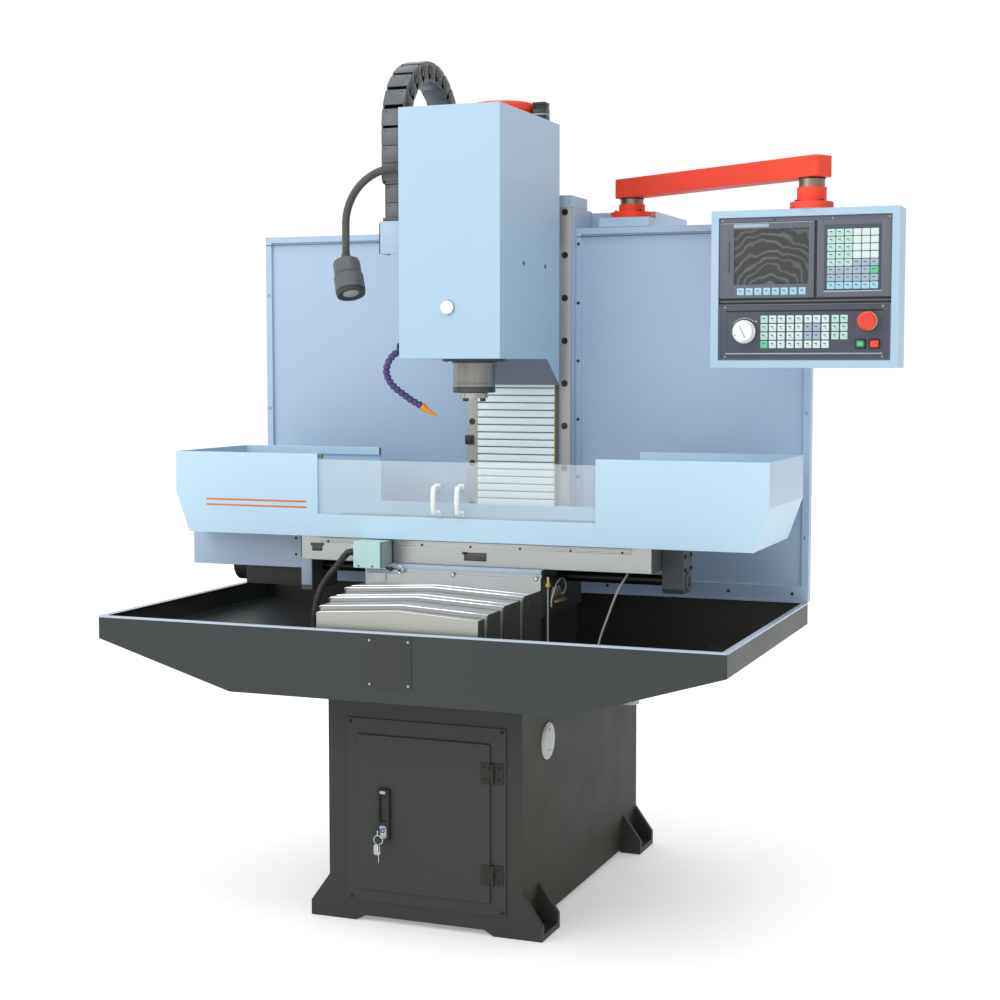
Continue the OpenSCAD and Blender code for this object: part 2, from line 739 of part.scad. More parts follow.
// Limit switch box on its angle in front of the table, with a gland for the conduit
module limit_switch_box() {
    x0 = -saddle_w / 2 - 6;
    y0 = front_plate_y - 53;
    z1 = guard_z - 3;
    color([0.75, 0.88, 0.87]) {
        block(x0, x0 + 70, y0, front_plate_y - 1, z1 - 63, z1);
        block(x0, x0 + 70, front_plate_y - 1, table_y0 - 6, saddle_top + 1, z1);
        block(x0 + 8, x0 + 62, front_plate_y - 30, front_plate_y, z1 - 66, z1 - 63);
        block(x0 + 8, x0 + 62, front_plate_y - 3, front_plate_y, saddle_top - 40, z1 - 66);
    }
    color([0.1, 0.1, 0.1]) bar_x(20, x0 - 10, x0, y0 + 26, z1 - 29);
}

// Points of a smooth curve through the list p, with n steps to each stretch
function spline(p, n) = let(m = len(p)) concat([for (i = [0 : m - 2], j = [0 : n - 1])
    let(t = j / n, a = p[max(i - 1, 0)], b = p[i], c = p[i + 1], d = p[min(i + 2, m - 1)])
    0.5 * (2 * b + (c - a) * t + (2 * a - 5 * b + 4 * c - d) * t * t
        + (3 * b - a - 3 * c + d) * t * t * t)], [p[m - 1]]);
function unit(v) = v / norm(v);
// Round tube of diameter d along the points p; side is a direction square to its bends
module tube(p, d, sides, side) {
    m = len(p);
    rings = [for (i = [0 : m - 1])
        let(t = unit(p[min(i + 1, m - 1)] - p[max(i - 1, 0)]), u = unit(cross(t, side)),
            v = cross(u, t))
        for (k = [0 : sides - 1]) p[i] + d / 2 * (cos(360 * k / sides) * u
            + sin(360 * k / sides) * v)];
    faces = concat([[for (k = [0 : sides - 1]) k]],
        [for (i = [0 : m - 2], k = [0 : sides - 1]) let(q = (k + 1) % sides)
            [i * sides + k, (i + 1) * sides + k, (i + 1) * sides + q, i * sides + q]],
        [[for (k = [sides - 1 : -1 : 0]) (m - 1) * sides + k]]);
    polyhedron(rings, faces, convexity = 6);
}

// Corrugated conduit from the limit switch box down into the tray
module switch_conduit() {
    x = -saddle_w / 2 - 16;
    y = front_plate_y - 27;
    z = guard_z - 32;
    pts = [[x - run, y, z], [x - 8, y, z - 0.5], [x - 20, y, z - 4], [x - 46, y - 2, z - 36],
           [x - 68, y - 8, z - 64], [x - 84, y - 14, z - 92], [x - 96, y - 20, z - 142], [x - 100, y - 22, z - 200],
           [x - 100, y - 22, z - 256]];
    color([0.12, 0.12, 0.12]) tube(spline(pts, 3), 16, 12, [0, 1, 0]);
}

// Oil distributor on the saddle's right side with brass fittings and thin oil pipes
module oil_distributor() {
    x = saddle_w / 2;
    color([0.55, 0.58, 0.6]) {
        block(x, x + 4, -262, -160, saddle_z + 2, saddle_top - 26);
        block(x + 4, x + 18, -240, -164, saddle_z + 22, saddle_z + 46);
    }
    color([0.78, 0.62, 0.28]) {
        for (i = [0 : 3]) bar_x(9, x + 18, x + 28, -230 + 19 * i, saddle_z + 34);
        bar_z(9, saddle_top - 40, saddle_top - 18, x + 10, -256);
        block(x + 4, x + 10, -260, -252, saddle_top - 40, saddle_top - 28);
    }
    color([0.85, 0.85, 0.8]) {
        bar_z(4, tray_floor + 60, saddle_top - 40, x + 10, -256);
        for (i = [0, 1]) translate([x + 24, -211 + 19 * i, saddle_z + 38])
            rotate([90, 0, 90]) rotate_extrude(angle = 180) translate([19, 0]) circle(d = 4);
    }
}

// Table with three T-slots
module table() {
    color([0.7, 0.71, 0.7]) difference() {
        block(table_x0, table_x1, table_y0, table_y1, table_z, table_top);
        for (k = [-1, 0, 1]) translate([0, table_y + k * slot_pitch, 0]) {
            block(table_x0 - 1, table_x1 + 1, -slot_w / 2, slot_w / 2, table_top - 24, table_top + 1);
            block(table_x0 - 1, table_x1 + 1, -slot_w / 2 - 5, slot_w / 2 + 5, table_top - 24,
                  table_top - 13);
        }
    }
}

// Dog rail on the table's front with its screws and two travel dogs
module dog_rail() {
    x0 = table_x0 + 52;
    x1 = table_x1 - 47;
    color([0.6, 0.61, 0.6]) {
        block(x0, x1, table_y0 - 3, table_y0, table_z + 44, table_z + 57);
        for (i = [0 : 4]) bar_y(7, table_y0 - 4.5, table_y0 - 3, x0 + 22 + i * (x1 - x0 - 44) / 4,
                                table_z + 51);
    }
    color([0.13, 0.13, 0.13]) {
        block(x0 - 28, x0 + 3, table_y0 - 2, table_y0, table_z + 24, table_z + 41);
        block(-22, 34, table_y0 - 2, table_y0, table_z + 14, table_z + 34);
    }
}

// Bearing housings at the table's ends; the left one carries the feed motor
module x_bearing_housing() {
    z0 = x_screw_z - 56;
    color([0.52, 0.55, 0.57]) difference() {
        union() {
            block(table_x0 - 30, table_x0, table_y - 70, table_y + 70, z0, guard_z - 1);
            along_x(table_x1, table_x1 + 52)
                polygon([[table_y - 38, guard_z - 2], [table_y - 38, x_screw_z - 16],
                         [table_y - 26, x_screw_z - 28], [table_y + 26, x_screw_z - 28],
                         [table_y + 38, x_screw_z - 16], [table_y + 38, guard_z - 2]]);
        }
        bar_x(screw_d + 2 * fit, table_x0 - 31, table_x1 + 53, table_y, x_screw_z);
    }
}
module x_screw() {
    color([0.75, 0.76, 0.75]) bar_x(screw_d, table_x0 - 50, table_x1 + 48, table_y, x_screw_z);
}
module x_motor() {
    color([0.1, 0.1, 0.11]) translate([table_x0 - 30, table_y, x_screw_z]) rotate([0, -90, 0])
        difference() {
            servo(210);
            translate([0, 0, -1]) cylinder(d = screw_d + 1, h = 32);
        }
}
// Sheet hood over the feed motor, screwed to the housing
module x_motor_cover() {
    x1 = table_x0 - 30;
    half = motor_s / 2 + 6;
    z1 = guard_z - 8;
    color([0.66, 0.72, 0.8]) difference() {
        block(x1 - 311, x1, table_y - half - 10, table_y + half, z1 - 81, z1);
        block(x1 - 308, x1 + 1, table_y - half - 7, table_y + half - 3, z1 - 82, z1 - 3);
    }
}

// Table guard: a folded tray around the table with a window opening in front, a low middle in
// its rear wall, and a track for the two windows
function guard_side(t) = [[guard_y0 + t, guard_top + t], [guard_y0 + t, guard_z + t],
    [guard_y1 - t, guard_z + t], [guard_y1 - t, guard_top + t]];
function guard_face(t) = [[guard_x0 + t, guard_top + t], [guard_x0 + t, guard_z + guard_slope_h],
    [guard_x0 + guard_slope_in + t, guard_z + t], [guard_x1 - guard_slope_in - t, guard_z + t],
    [guard_x1 - t, guard_z + guard_slope_h], [guard_x1 - t, guard_top + t]];
module guard_solid(t) {
    intersection() {
        along_x(guard_x0 - 1, guard_x1 + 1) polygon(guard_side(t));
        along_y(guard_y0 - 1, guard_y1 + 1) polygon(guard_face(t));
    }
}
module table_guard() {
    track_y1 = pane_y + pane_t + 3;
    color([0.75, 0.85, 0.93]) difference() {
        union() {
            difference() {
                guard_solid(0);
                guard_solid(sheet);
            }
            // folded rails on the rear wall's high ends
            for (x = [[guard_x0, window_x0], [window_x1, guard_x1]])
                block(x[0], x[1], guard_y1 - 14, guard_y1, guard_top - 20, guard_top);
            // window track behind the front sheet's sill
            block(window_x0 - 316, window_x1 + 316, guard_y0 + sheet - 1, track_y1, sill_z - 16,
                  sill_z - 4);
        }
        block(window_x0, window_x1, guard_y0 - 1, guard_y0 + sheet + 1, sill_z, guard_top + 1);
        block(window_x0, window_x1, guard_y1 - 15, guard_y1 + 1, guard_z + 61, guard_top + 1);
        block(table_x0, table_x1, table_y0, table_y1, guard_z - 1, guard_z + sheet + 1);
        block(window_x0 - 317, window_x1 + 317, pane_y - run, pane_y + pane_t + run, sill_z - 12,
              sill_z - 3);
    }
}

// Clear sliding window with a white grip; x is the grip's middle
module window(x0, x1, x) {
    color([0.8, 0.88, 0.92, 0.4])
        block(x0, x1, pane_y, pane_y + pane_t, sill_z - 12 + run, pane_top - run);
    color([0.93, 0.93, 0.93]) {
        for (z = [sill_z + 8, sill_z + 68]) block(x - 6, x + 6, pane_y - 28, pane_y, z, z + 10);
        block(x - 6, x + 6, pane_y - 34, pane_y - 26, sill_z + 8, sill_z + 78);
    }
}
module window_left() { window(window_x0 - 8, pane_mid - 0.5, -37); }
module window_right() { window(pane_mid + 0.5, window_x1 + 8, 24); }

// Head casting: slide on the ways, web, quill boss, motor shelf and screw nut
module head_casting() {
    base_z = head_z + skin;
    inner = head_x - skin;
    color([0.6, 0.66, 0.74]) difference() {
        union() {
            block(-inner, inner, -spindle_y - 85, 95, base_z, base_z + 20);
            bar_z(168, base_z, head_z + 197, 0, -spindle_y);
            bar_z(flange_d, head_z, base_z, 0, -spindle_y);
            block(-90, 90, -spindle_y, 120, base_z, head_z + 150);
            block(-slide_w / 2, slide_w / 2, head_back - 9, ways_y - run, head_z - 53, shelf_z + 16);
            for (x = [-90, 80]) block(x, x + 10, 10, 120, head_z + 150, shelf_z);
            block(-90, 90, -20, 120, shelf_z, shelf_z + 16);
            block(-45, 45, ways_y - run, screw_y + 38, z_nut_z - 35, z_nut_z + 35);
        }
        bar_z(quill_d + 2 * fit, head_z - 1, head_z + 198, 0, -spindle_y);
        bar_z(screw_d + 2 * run, z_nut_z - 36, z_nut_z + 36, 0, screw_y);
        bar_z(40, shelf_z - 1, shelf_z + 17, 0, motor_y);
    }
}

// Outline of the head cover seen from the side, shrunk by t
function hood_side(t) = [[-head_front + t, head_z + t], [-head_front + t, head_top - t],
    [head_back + 2 * t, head_top - t], [head_back + 2 * t, head_z - skirt_drop + t],
    [skirt_y + t / 2, head_z + t]];
// Folded sheet cover of the head, open at the back, with a round plug in its face
module head_cover() {
    color([0.72, 0.82, 0.92]) difference() {
        along_x(-head_x, head_x) polygon(hood_side(0));
        along_x(-head_x + skin, head_x - skin) polygon(hood_side(skin));
        bar_z(flange_d + 2, head_z - 1, head_z + skin + 1, 0, -spindle_y);
        bar_z(motor_d + 8, head_top - skin - 1, head_top + 1, 0, motor_y);
        for (y = [-130, 21]) bar_x(8, head_x - skin - 1, head_x + 1, y, head_z + 229);
    }
    color([0.95, 0.95, 0.95]) bar_y(30, -head_front - 4, -head_front, -3, head_z + 120);
}

// Spindle motor with its round body, red fan cowl and cable connector
module spindle_motor() {
    color([0.12, 0.12, 0.13]) {
        difference() {
            union() {
                bar_z(motor_d, shelf_z + 16, head_top + 18, 0, motor_y);
                block(-70, 70, motor_y - 70, motor_y + 50, shelf_z + 16, shelf_z + 30);
            }
            bar_z(24 + 2 * fit, shelf_z + 15, shelf_z + 80, 0, motor_y);
        }
        block(86, 122, 40, 76, head_top, head_top + 46);
    }
    color([0.86, 0.2, 0.15]) bar_z(cowl_d, head_top + 18, head_top + 48, 0, motor_y);
}

// Quill housing with its dark mounting flange
module spindle_housing() {
    color([0.7, 0.71, 0.7]) difference() {
        union() {
            bar_z(quill_d, quill_z, head_z + 190, 0, -spindle_y);
            bar_z(flange_d, head_z - flange_t, head_z, 0, -spindle_y);
        }
        difference() {
            bar_z(quill_d + 1, quill_z + 5, quill_z + 9, 0, -spindle_y);
            bar_z(quill_d - 4, quill_z + 4, quill_z + 10, 0, -spindle_y);
        }
        bar_z(shaft_d + 2 * fit, quill_z - 1, head_z + 191, 0, -spindle_y);
    }
}

// Toothed belt pulley: a round rim between two flanges
module pulley(bore) {
    difference() {
        union() {
            cylinder(d = pulley_d, h = pulley_h);
            cylinder(d = pulley_d + 12, h = 3);
            translate([0, 0, pulley_h - 3]) cylinder(d = pulley_d + 12, h = 3);
        }
        translate([0, 0, -1]) cylinder(d = bore, h = pulley_h + 2);
    }
}

// Spindle: nose with its taper and drive keys, shaft, drawbar bore and pulley
module spindle() {
    nose_z = quill_z - run - nose_h;
    taper_h = (taper_d - drawbar_d) * 24 / 7;
    color([0.72, 0.73, 0.72]) translate([0, -spindle_y, 0]) {
        difference() {
            union() {
                translate([0, 0, nose_z]) cylinder(d = nose_d, h = nose_h);
                translate([0, 0, nose_z]) cylinder(d = shaft_d, h = pulley_z + pulley_h - nose_z);
            }
            translate([0, 0, nose_z]) cylinder(d1 = taper_d, d2 = drawbar_d, h = taper_h);
            translate([0, 0, nose_z - 1]) cylinder(d = drawbar_d, h = pulley_z);
        }
        translate([0, 0, pulley_z]) pulley(shaft_d);
    }
    color([0.1, 0.1, 0.1]) for (x = [-27, 18])
        block(x, x + 9, -spindle_y - 8, -spindle_y + 8, nose_z - 8, nose_z);
}
module motor_pulley() {
    color([0.62, 0.63, 0.64]) translate([0, motor_y, 0]) {
        translate([0, 0, pulley_z]) pulley(24);
        translate([0, 0, pulley_z]) cylinder(d = 24, h = shelf_z + 76 - pulley_z);
    }
}

// Flat loop of the drive belt around both pulleys
module belt_shape(r) {
    translate([0, -spindle_y]) circle(r = r);
    translate([0, motor_y]) circle(r = r);
    translate([-r, -spindle_y]) square([2 * r, motor_y + spindle_y]);
}
module drive_belt() {
    color([0.09, 0.09, 0.09]) translate([0, 0, pulley_z + 5]) linear_extrude(belt_h)
        difference() {
            belt_shape(pulley_d / 2 + run + belt_t);
            belt_shape(pulley_d / 2 + run);
        }
}

// Slatted folding cover below the head, between the two way strips
module way_cover() {
    z0 = strip_z0 + 20;
    z1 = head_z - 53;
    n = 26;
    pitch = (z1 - z0) / n;
    half = strip_x - strip_w - 1;
    color([0.85, 0.92, 0.95]) {
        block(-half, half, ways_y - 12, ways_y - 3, z0, z1);
        for (i = [0 : n - 1]) block(-half, half, ways_y - 18, ways_y - 12, z0 + i * pitch,
                                    z0 + (i + 1) * pitch - 2.5);
    }
}

// One link of the drag chain, a hollow band of length l around the middle radius
module link_band(l) {
    difference() {
        translate([chain_x0, chain_r - chain_h, -l / 2]) cube([chain_w, chain_h, l]);
        translate([chain_x0 + band + 1.5, chain_r - chain_h + band + 1.5, -l / 2 - 1])
            cube([chain_w - 2 * band - 3, chain_h - 2 * band - 3, l + 2]);
    }
}
// Drag chain bend: a hollow channel over half a circle with two straight tails and link bands
module drag_chain() {
    r1 = chain_r - band;
    r0 = chain_r - chain_h + band;
    xa = chain_x0 + band;
    xb = chain_x1 - band;
    w = chain_wall;
    color([0.13, 0.13, 0.14]) translate([0, bend_y, bend_z]) union() {
        // channel along the bend
        rotate([90, 0, 90]) translate([0, 0, xa]) rotate_extrude(angle = 180) difference() {
            translate([r0, 0]) square([r1 - r0, xb - xa]);
            translate([r0 + w, w]) square([r1 - r0 - 2 * w, xb - xa - 2 * w]);
        }
        // channels of the straight tails
        for (s = [0, 1]) mirror([0, s, 0]) difference() {
            block(xa, xb, r0, r1, -tail_l, 0);
            block(xa + w, xb - w, r0 + w, r1 - w, -tail_l - 1, 1);
        }
        // link bands
        for (i = [0 : link_n - 1]) rotate([180 / link_n * (i + 0.5), 0, 0])
            link_band(2 * (chain_r - chain_h) * tan(90 / link_n) - 3);
        for (s = [0, 1], i = [0 : tail_n - 1]) mirror([0, s, 0])
            translate([0, 0, -link_l * (i + 0.5)]) link_band(link_l - 6);
    }
}
// Straight leg that runs inside a tail: from drop up to its shoulder, then a thin tongue that
// slides on the channel's inner wall
module chain_leg(drop, reach) {
    g = band + chain_wall + leg_gap;
    inner = chain_r - chain_h + band + chain_wall + run;
    outer = chain_r - g;
    color([0.15, 0.15, 0.16]) translate([0, bend_y, bend_z]) {
        block(chain_x0 + g, chain_x1 - g, inner, outer, -drop, reach - tongue_l);
        block(chain_x0 + g, chain_x1 - g, inner, inner + tongue_h, reach - tongue_l, reach);
    }
}
// Front leg, standing on the bracket on the head's left side
module chain_front_leg() {
    z1 = bend_z - front_drop;
    y0 = bend_y - chain_r;
    translate([0, 2 * bend_y, 0]) mirror([0, 1, 0]) chain_leg(front_drop, front_reach);
    color([0.72, 0.82, 0.92]) difference() {
        block(chain_x0 - 4, -head_x, y0 - 2, y0 + chain_h + 6, z1 - 78, z1);
        block(chain_x0 - 1, -head_x - 3, y0 + 1, y0 + chain_h + 7, z1 - 79, z1 - 3);
    }
}
// Rear leg, standing on the bracket on the column's left side
module chain_rear_leg() {
    z1 = bend_z - rear_drop;
    y1 = bend_y + chain_r;
    chain_leg(rear_drop, rear_reach);
    color([0.72, 0.82, 0.92]) {
        block(chain_x0 - 4, -column_w / 2, y1 - chain_h - 4, column_y0 + 20, z1 - 5, z1);
        block(-column_w / 2 - 5, -column_w / 2, column_y0, column_y0 + 20, z1 - 70, z1 - 5);
    }
}

// Work lamp: flexible arm from the head's side and a round lamp head that looks down
module work_lamp() {
    head_l = 92;
    color([0.1, 0.1, 0.1]) {
        bar_x(34, -head_x - 8, -head_x, lamp_y, lamp_z);
        bar_x(lamp_d, -head_x - lamp_run, -head_x - 8, lamp_y, lamp_z);
        translate([-head_x - lamp_run, lamp_y, lamp_z - lamp_bend]) rotate([90, 0, 0])
            rotate([0, 0, 90]) rotate_extrude(angle = 90) translate([lamp_bend, 0])
                circle(d = lamp_d);
        bar_z(lamp_d, lamp_head_z, lamp_z - lamp_bend, lamp_x, lamp_y);
    }
    color([0.3, 0.31, 0.32]) translate([lamp_x, lamp_y, lamp_head_z + 3])
        rotate([-lamp_lean, -lamp_tilt, 0]) difference() {
            union() {
                translate([0, 0, -38]) cylinder(d = 66, h = 38);
                translate([0, 0, -head_l]) cylinder(d = 72, h = head_l - 38);
                translate([0, 0, -40]) cylinder(d = 68, h = 4);
            }
            translate([0, 0, -head_l - 1]) cylinder(d = 60, h = 9);
        }
    color([0.8, 0.85, 0.87]) translate([lamp_x, lamp_y, lamp_head_z + 3])
        rotate([-lamp_lean, -lamp_tilt, 0]) translate([0, 0, 4 - head_l]) cylinder(d = 60, h = 4);
}

// Coolant hose of ball-jointed segments with its valve on the head's side and a tapered nozzle
module coolant_hose() {
    m = len(hose_pts);
    color([0.7, 0.71, 0.7]) bar_x(16, -head_x - 22, -head_x, hose_pts[0][1], hose_pts[0][2] + 12);
    color([0.25, 0.2, 0.42]) {
        translate([-head_x - 22, hose_pts[0][1], hose_pts[0][2] + 12]) sphere(d = hose_d + 2);
        for (p = hose_pts) translate(p) sphere(d = hose_d);
        for (i = [0 : m - 2]) between(hose_pts[i], hose_pts[i + 1]) cylinder(d = 11, h = $len);
    }
    color([0.95, 0.62, 0.2]) between(hose_pts[m - 1], nozzle_end) {
        translate([0, 0, 6]) cylinder(d = 14, h = 10);
        translate([0, 0, 16]) cylinder(d1 = 12, d2 = 6, h = $len - 16);
    }
}
// Stands the children's Z axis on the line from a to b; $len is its length
module between(a, b) {
    v = b - a;
    $len = norm(v);
    translate(a) rotate([0, acos(v[2] / norm(v)), atan2(v[1], v[0])]) children();
}

// Swinging arm: beam with rounded corners and a pivot pin, bored at its tip
module control_arm() {
    over = 40;
    r = 14;
    hw = beam_w / 2;
    color([0.88, 0.27, 0.19]) translate([arm_x, arm_y, 0]) rotate([0, 0, -arm_turn]) difference() {
        union() {
            block(-over, arm_l + over, -hw + r, hw - r, beam_z, beam_z + beam_h);
            block(-over + r, arm_l + over - r, -hw, hw, beam_z, beam_z + beam_h);
            for (x = [-over + r, arm_l + over - r], y = [-hw + r, hw - r])
                bar_z(2 * r, beam_z, beam_z + beam_h, x, y);
            bar_z(pin_d, ped_z - 5, beam_z, 0, 0);
        }
        bar_z(pin_d + 2 * fit, beam_z - 1, beam_z + beam_h - 8, arm_l, 0);
    }
}

// Control box: sheet housing open in front, hung from the arm by its flange, hub and pin
module control_box() {
    z_hub = box_top + tip_flange_h;
    z_ring = z_hub + tip_hub_h;
    color([0.72, 0.82, 0.92]) difference() {
        block(box_x0, box_x1, box_y0, box_y1, box_z, box_top);
        block(box_x0 + 2, box_x1 - 2, box_y0 + 2, box_y1 - 2, box_z + 2, box_top - 2);
        block(panel_x0, panel_x1, box_y0 - 1, box_y0 + 3, face_z, face_top);
    }
    // inner frame that holds the panels
    color([0.6, 0.66, 0.74]) difference() {
        block(panel_x0 - 8, panel_x1 + 8, box_y0 + 2, face_y + face_t, face_z - 8, face_top + 8);
        block(panel_x0, panel_x1, box_y0 + 1, face_y + face_t + 1, face_z, face_top);
    }
    color([0.86, 0.26, 0.18]) {
        bar_z(100, box_top, z_hub, tip_x, tip_y);
        bar_z(hub_d, z_hub, z_ring, tip_x, tip_y);
    }
    color([0.7, 0.71, 0.7]) {
        bar_z(ring_d, z_ring, z_ring + tip_ring_h, tip_x, tip_y);
        bar_z(pin_d, z_ring + tip_ring_h, beam_z + beam_h - 10, tip_x, tip_y);
    }
}

// A row-and-column field of raised keys from its lower left corner
module key_field(x0, z0, cols, rows, dx, dz) {
    for (i = [0 : cols - 1], j = [0 : rows - 1])
        block(x0 + i * dx, x0 + (i + 1) * dx - 3, face_y - 1.5, face_y, z0 + j * dz,
              z0 + (j + 1) * dz - 3);
}

// Display unit: front plate with the screen, a row of soft keys and the keypad
module display_unit() {
    sx = panel_x0 + 36;
    sz = split_z + 34;
    color([0.35, 0.38, 0.43]) difference() {
        block(panel_x0, panel_x1, face_y, face_y + face_t, split_z, face_top);
        block(sx, sx + 174, face_y - 1, face_y + 2, sz, sz + 138);
        block(panel_x0 + 10, panel_x0 + 22, face_y - 1, face_y + 2, split_z + 60, split_z + 118);
    }
    color([0.2, 0.22, 0.24]) block(sx + 6, sx + 168, face_y + 1, face_y + 2, sz + 6, sz + 132);
    color([0.8, 0.85, 0.86]) {
        key_field(sx + 6, split_z + 9, 8, 1, 20.5, 15);
        key_field(panel_x1 - 157, split_z + 14, 6, 8, 22.5, 19.5);
    }
}

// Operator panel below it, with key blocks, a knob scale and guides for the push buttons
module operator_panel() {
    color([0.3, 0.33, 0.38]) difference() {
        block(panel_x0, panel_x1, face_y, face_y + face_t, face_z, split_z - run);
        bar_y(8 + 2 * fit, face_y - 1, face_y + face_t + 1, knob_x, knob_z);
        bar_y(22 + 2 * run, face_y - 1, face_y + face_t + 1, stop_x, stop_z);
        for (x = [stop_x - 26, stop_x + 6])
            block(x - run, x + 20 + run, face_y - 1, face_y + face_t + 1, stop_z - 60 - run,
                  stop_z - 44 + run);
    }
    color([0.12, 0.12, 0.13]) difference() {
        bar_y(64, face_y - 1, face_y, knob_x, knob_z);
        bar_y(8 + 2 * fit, face_y - 2, face_y + 1, knob_x, knob_z);
    }
    color([0.9, 0.75, 0.15]) difference() {
        bar_y(50, face_y - 2, face_y, stop_x, stop_z);
        bar_y(22 + 2 * run, face_y - 3, face_y + 1, stop_x, stop_z);
    }
    color([0.85, 0.88, 0.87]) {
        key_field(knob_x + 43, face_z + 28, 3, 4, 20.5, 20.5);
        key_field(knob_x + 43 + 64, face_z + 28, 2, 4, 20.5, 20.5);
        key_field(knob_x + 43 + 108, face_z + 28, 3, 4, 20.5, 20.5);
        key_field(knob_x + 43 + 172, face_z + 48.5, 2, 3, 20.5, 20.5);
    }
}

// Rotary override knob with a pointer ridge and its shaft
module jog_knob() {
    color([0.93, 0.93, 0.92]) {
        bar_y(48, face_y - 10, face_y - 1 - run, knob_x, knob_z);
        bar_y(38, face_y - 24, face_y - 10, knob_x, knob_z);
        block(knob_x - 2, knob_x + 2, face_y - 26, face_y - 24, knob_z, knob_z + 18);
        bar_y(8, face_y - 1 - run, face_y + face_t + 4, knob_x, knob_z);
    }
}
// Red mushroom button
module emergency_stop() {
    color([0.85, 0.12, 0.1]) {
        bar_y(40, face_y - 30, face_y - 16, stop_x, stop_z);
        bar_y(22, face_y - 16, face_y + face_t + 6, stop_x, stop_z);
    }
}
module push_button(x, tint) {
    color(tint) block(x, x + 20, face_y - 6, face_y + face_t + 3, stop_z - 60, stop_z - 44);
}
module start_button() { push_button(stop_x - 26, [0.1, 0.6, 0.25]); }
module stop_button() { push_button(stop_x + 6, [0.85, 0.12, 0.1]); }

base_cabinet();
door_frame();
base_door();
door_lock();
coolant_tank();
coolant_pump();
chip_tray();
blank_plate();
side_cap();
bed();
column();
way_strips();
column_cap();
back_panel_left();
back_panel_right();
electrical_cabinet();
cabinet_door();
arm_bracket();
y_motor();
z_motor();
y_screw();
z_screw();
cover_section_1();
cover_section_2();
cover_section_3();
cover_section_4();
saddle();
limit_switch_box();
oil_distributor();
switch_conduit();
table();
dog_rail();
x_screw();
x_motor();
x_motor_cover();
x_bearing_housing();
table_guard();
window_left();
window_right();
head_casting();
head_cover();
spindle_motor();
spindle_housing();
spindle();
motor_pulley();
drive_belt();
way_cover();
drag_chain();
chain_front_leg();
chain_rear_leg();
work_lamp();
coolant_hose();
control_arm();
control_box();
display_unit();
operator_panel();
jog_knob();
emergency_stop();
start_button();
stop_button();
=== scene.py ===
import json
import math
from types import SimpleNamespace

import bmesh
import bpy
import numpy as np
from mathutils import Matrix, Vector

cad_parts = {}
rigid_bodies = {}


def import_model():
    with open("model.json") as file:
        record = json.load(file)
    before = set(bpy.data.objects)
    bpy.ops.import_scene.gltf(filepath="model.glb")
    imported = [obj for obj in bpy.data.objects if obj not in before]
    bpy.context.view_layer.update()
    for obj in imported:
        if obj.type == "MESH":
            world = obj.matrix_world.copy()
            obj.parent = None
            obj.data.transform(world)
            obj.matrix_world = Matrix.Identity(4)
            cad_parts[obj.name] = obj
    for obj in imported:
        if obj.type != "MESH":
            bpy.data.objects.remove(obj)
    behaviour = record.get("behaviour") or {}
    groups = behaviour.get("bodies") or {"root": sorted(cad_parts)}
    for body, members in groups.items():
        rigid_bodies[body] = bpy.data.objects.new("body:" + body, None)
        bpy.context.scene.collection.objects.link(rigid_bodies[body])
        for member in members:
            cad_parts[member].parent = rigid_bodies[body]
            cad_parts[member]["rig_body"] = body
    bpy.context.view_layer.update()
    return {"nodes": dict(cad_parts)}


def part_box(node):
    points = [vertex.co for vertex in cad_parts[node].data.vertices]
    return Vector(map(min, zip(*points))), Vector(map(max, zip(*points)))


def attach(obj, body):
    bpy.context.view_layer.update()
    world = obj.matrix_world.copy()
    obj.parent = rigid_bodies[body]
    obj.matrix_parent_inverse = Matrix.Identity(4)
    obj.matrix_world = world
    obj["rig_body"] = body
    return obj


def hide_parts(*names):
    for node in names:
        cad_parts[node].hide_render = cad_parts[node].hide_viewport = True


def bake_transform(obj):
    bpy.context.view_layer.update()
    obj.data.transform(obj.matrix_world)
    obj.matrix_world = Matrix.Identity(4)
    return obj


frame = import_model()
mm = 0.001
print("frame loaded:", len(frame["nodes"]), "solids")


class Value:  # one socket on its way through the nodes; sums on it add Math nodes
    def __init__(self, owner, socket):
        self.owner, self.socket = owner, socket

    def math(self, operation, first, second):
        return self.owner.node("ShaderNodeMath", {"operation": operation}, {0: first, 1: second})

    def __add__(self, other):
        return self.math("ADD", self, other)

    def __radd__(self, other):
        return self.math("ADD", other, self)

    def __sub__(self, other):
        return self.math("SUBTRACT", self, other)

    def __mul__(self, other):
        return self.math("MULTIPLY", self, other)

    def __rmul__(self, other):
        return self.math("MULTIPLY", other, self)

    def __gt__(self, other):
        return self.math("GREATER_THAN", self, other)


class Tree:  # a node tree; a node comes from its type, its settings, and its sockets' values or links
    def __init__(self, tree):
        self.tree = tree

    def node(self, kind, settings=None, sockets=None, output=0):
        made = self.tree.nodes.new(kind)
        for key, value in (settings or {}).items():
            if key == "stops":
                for element, (place, colour) in zip(made.color_ramp.elements, value):
                    element.position, element.color = place, (*colour, 1)
            else:
                setattr(made, key, value)
        for key, value in (sockets or {}).items():
            if isinstance(value, Value):
                self.tree.links.new(value.socket, made.inputs[key])
            else:
                made.inputs[key].default_value = value
        return Value(self, made.outputs[output])


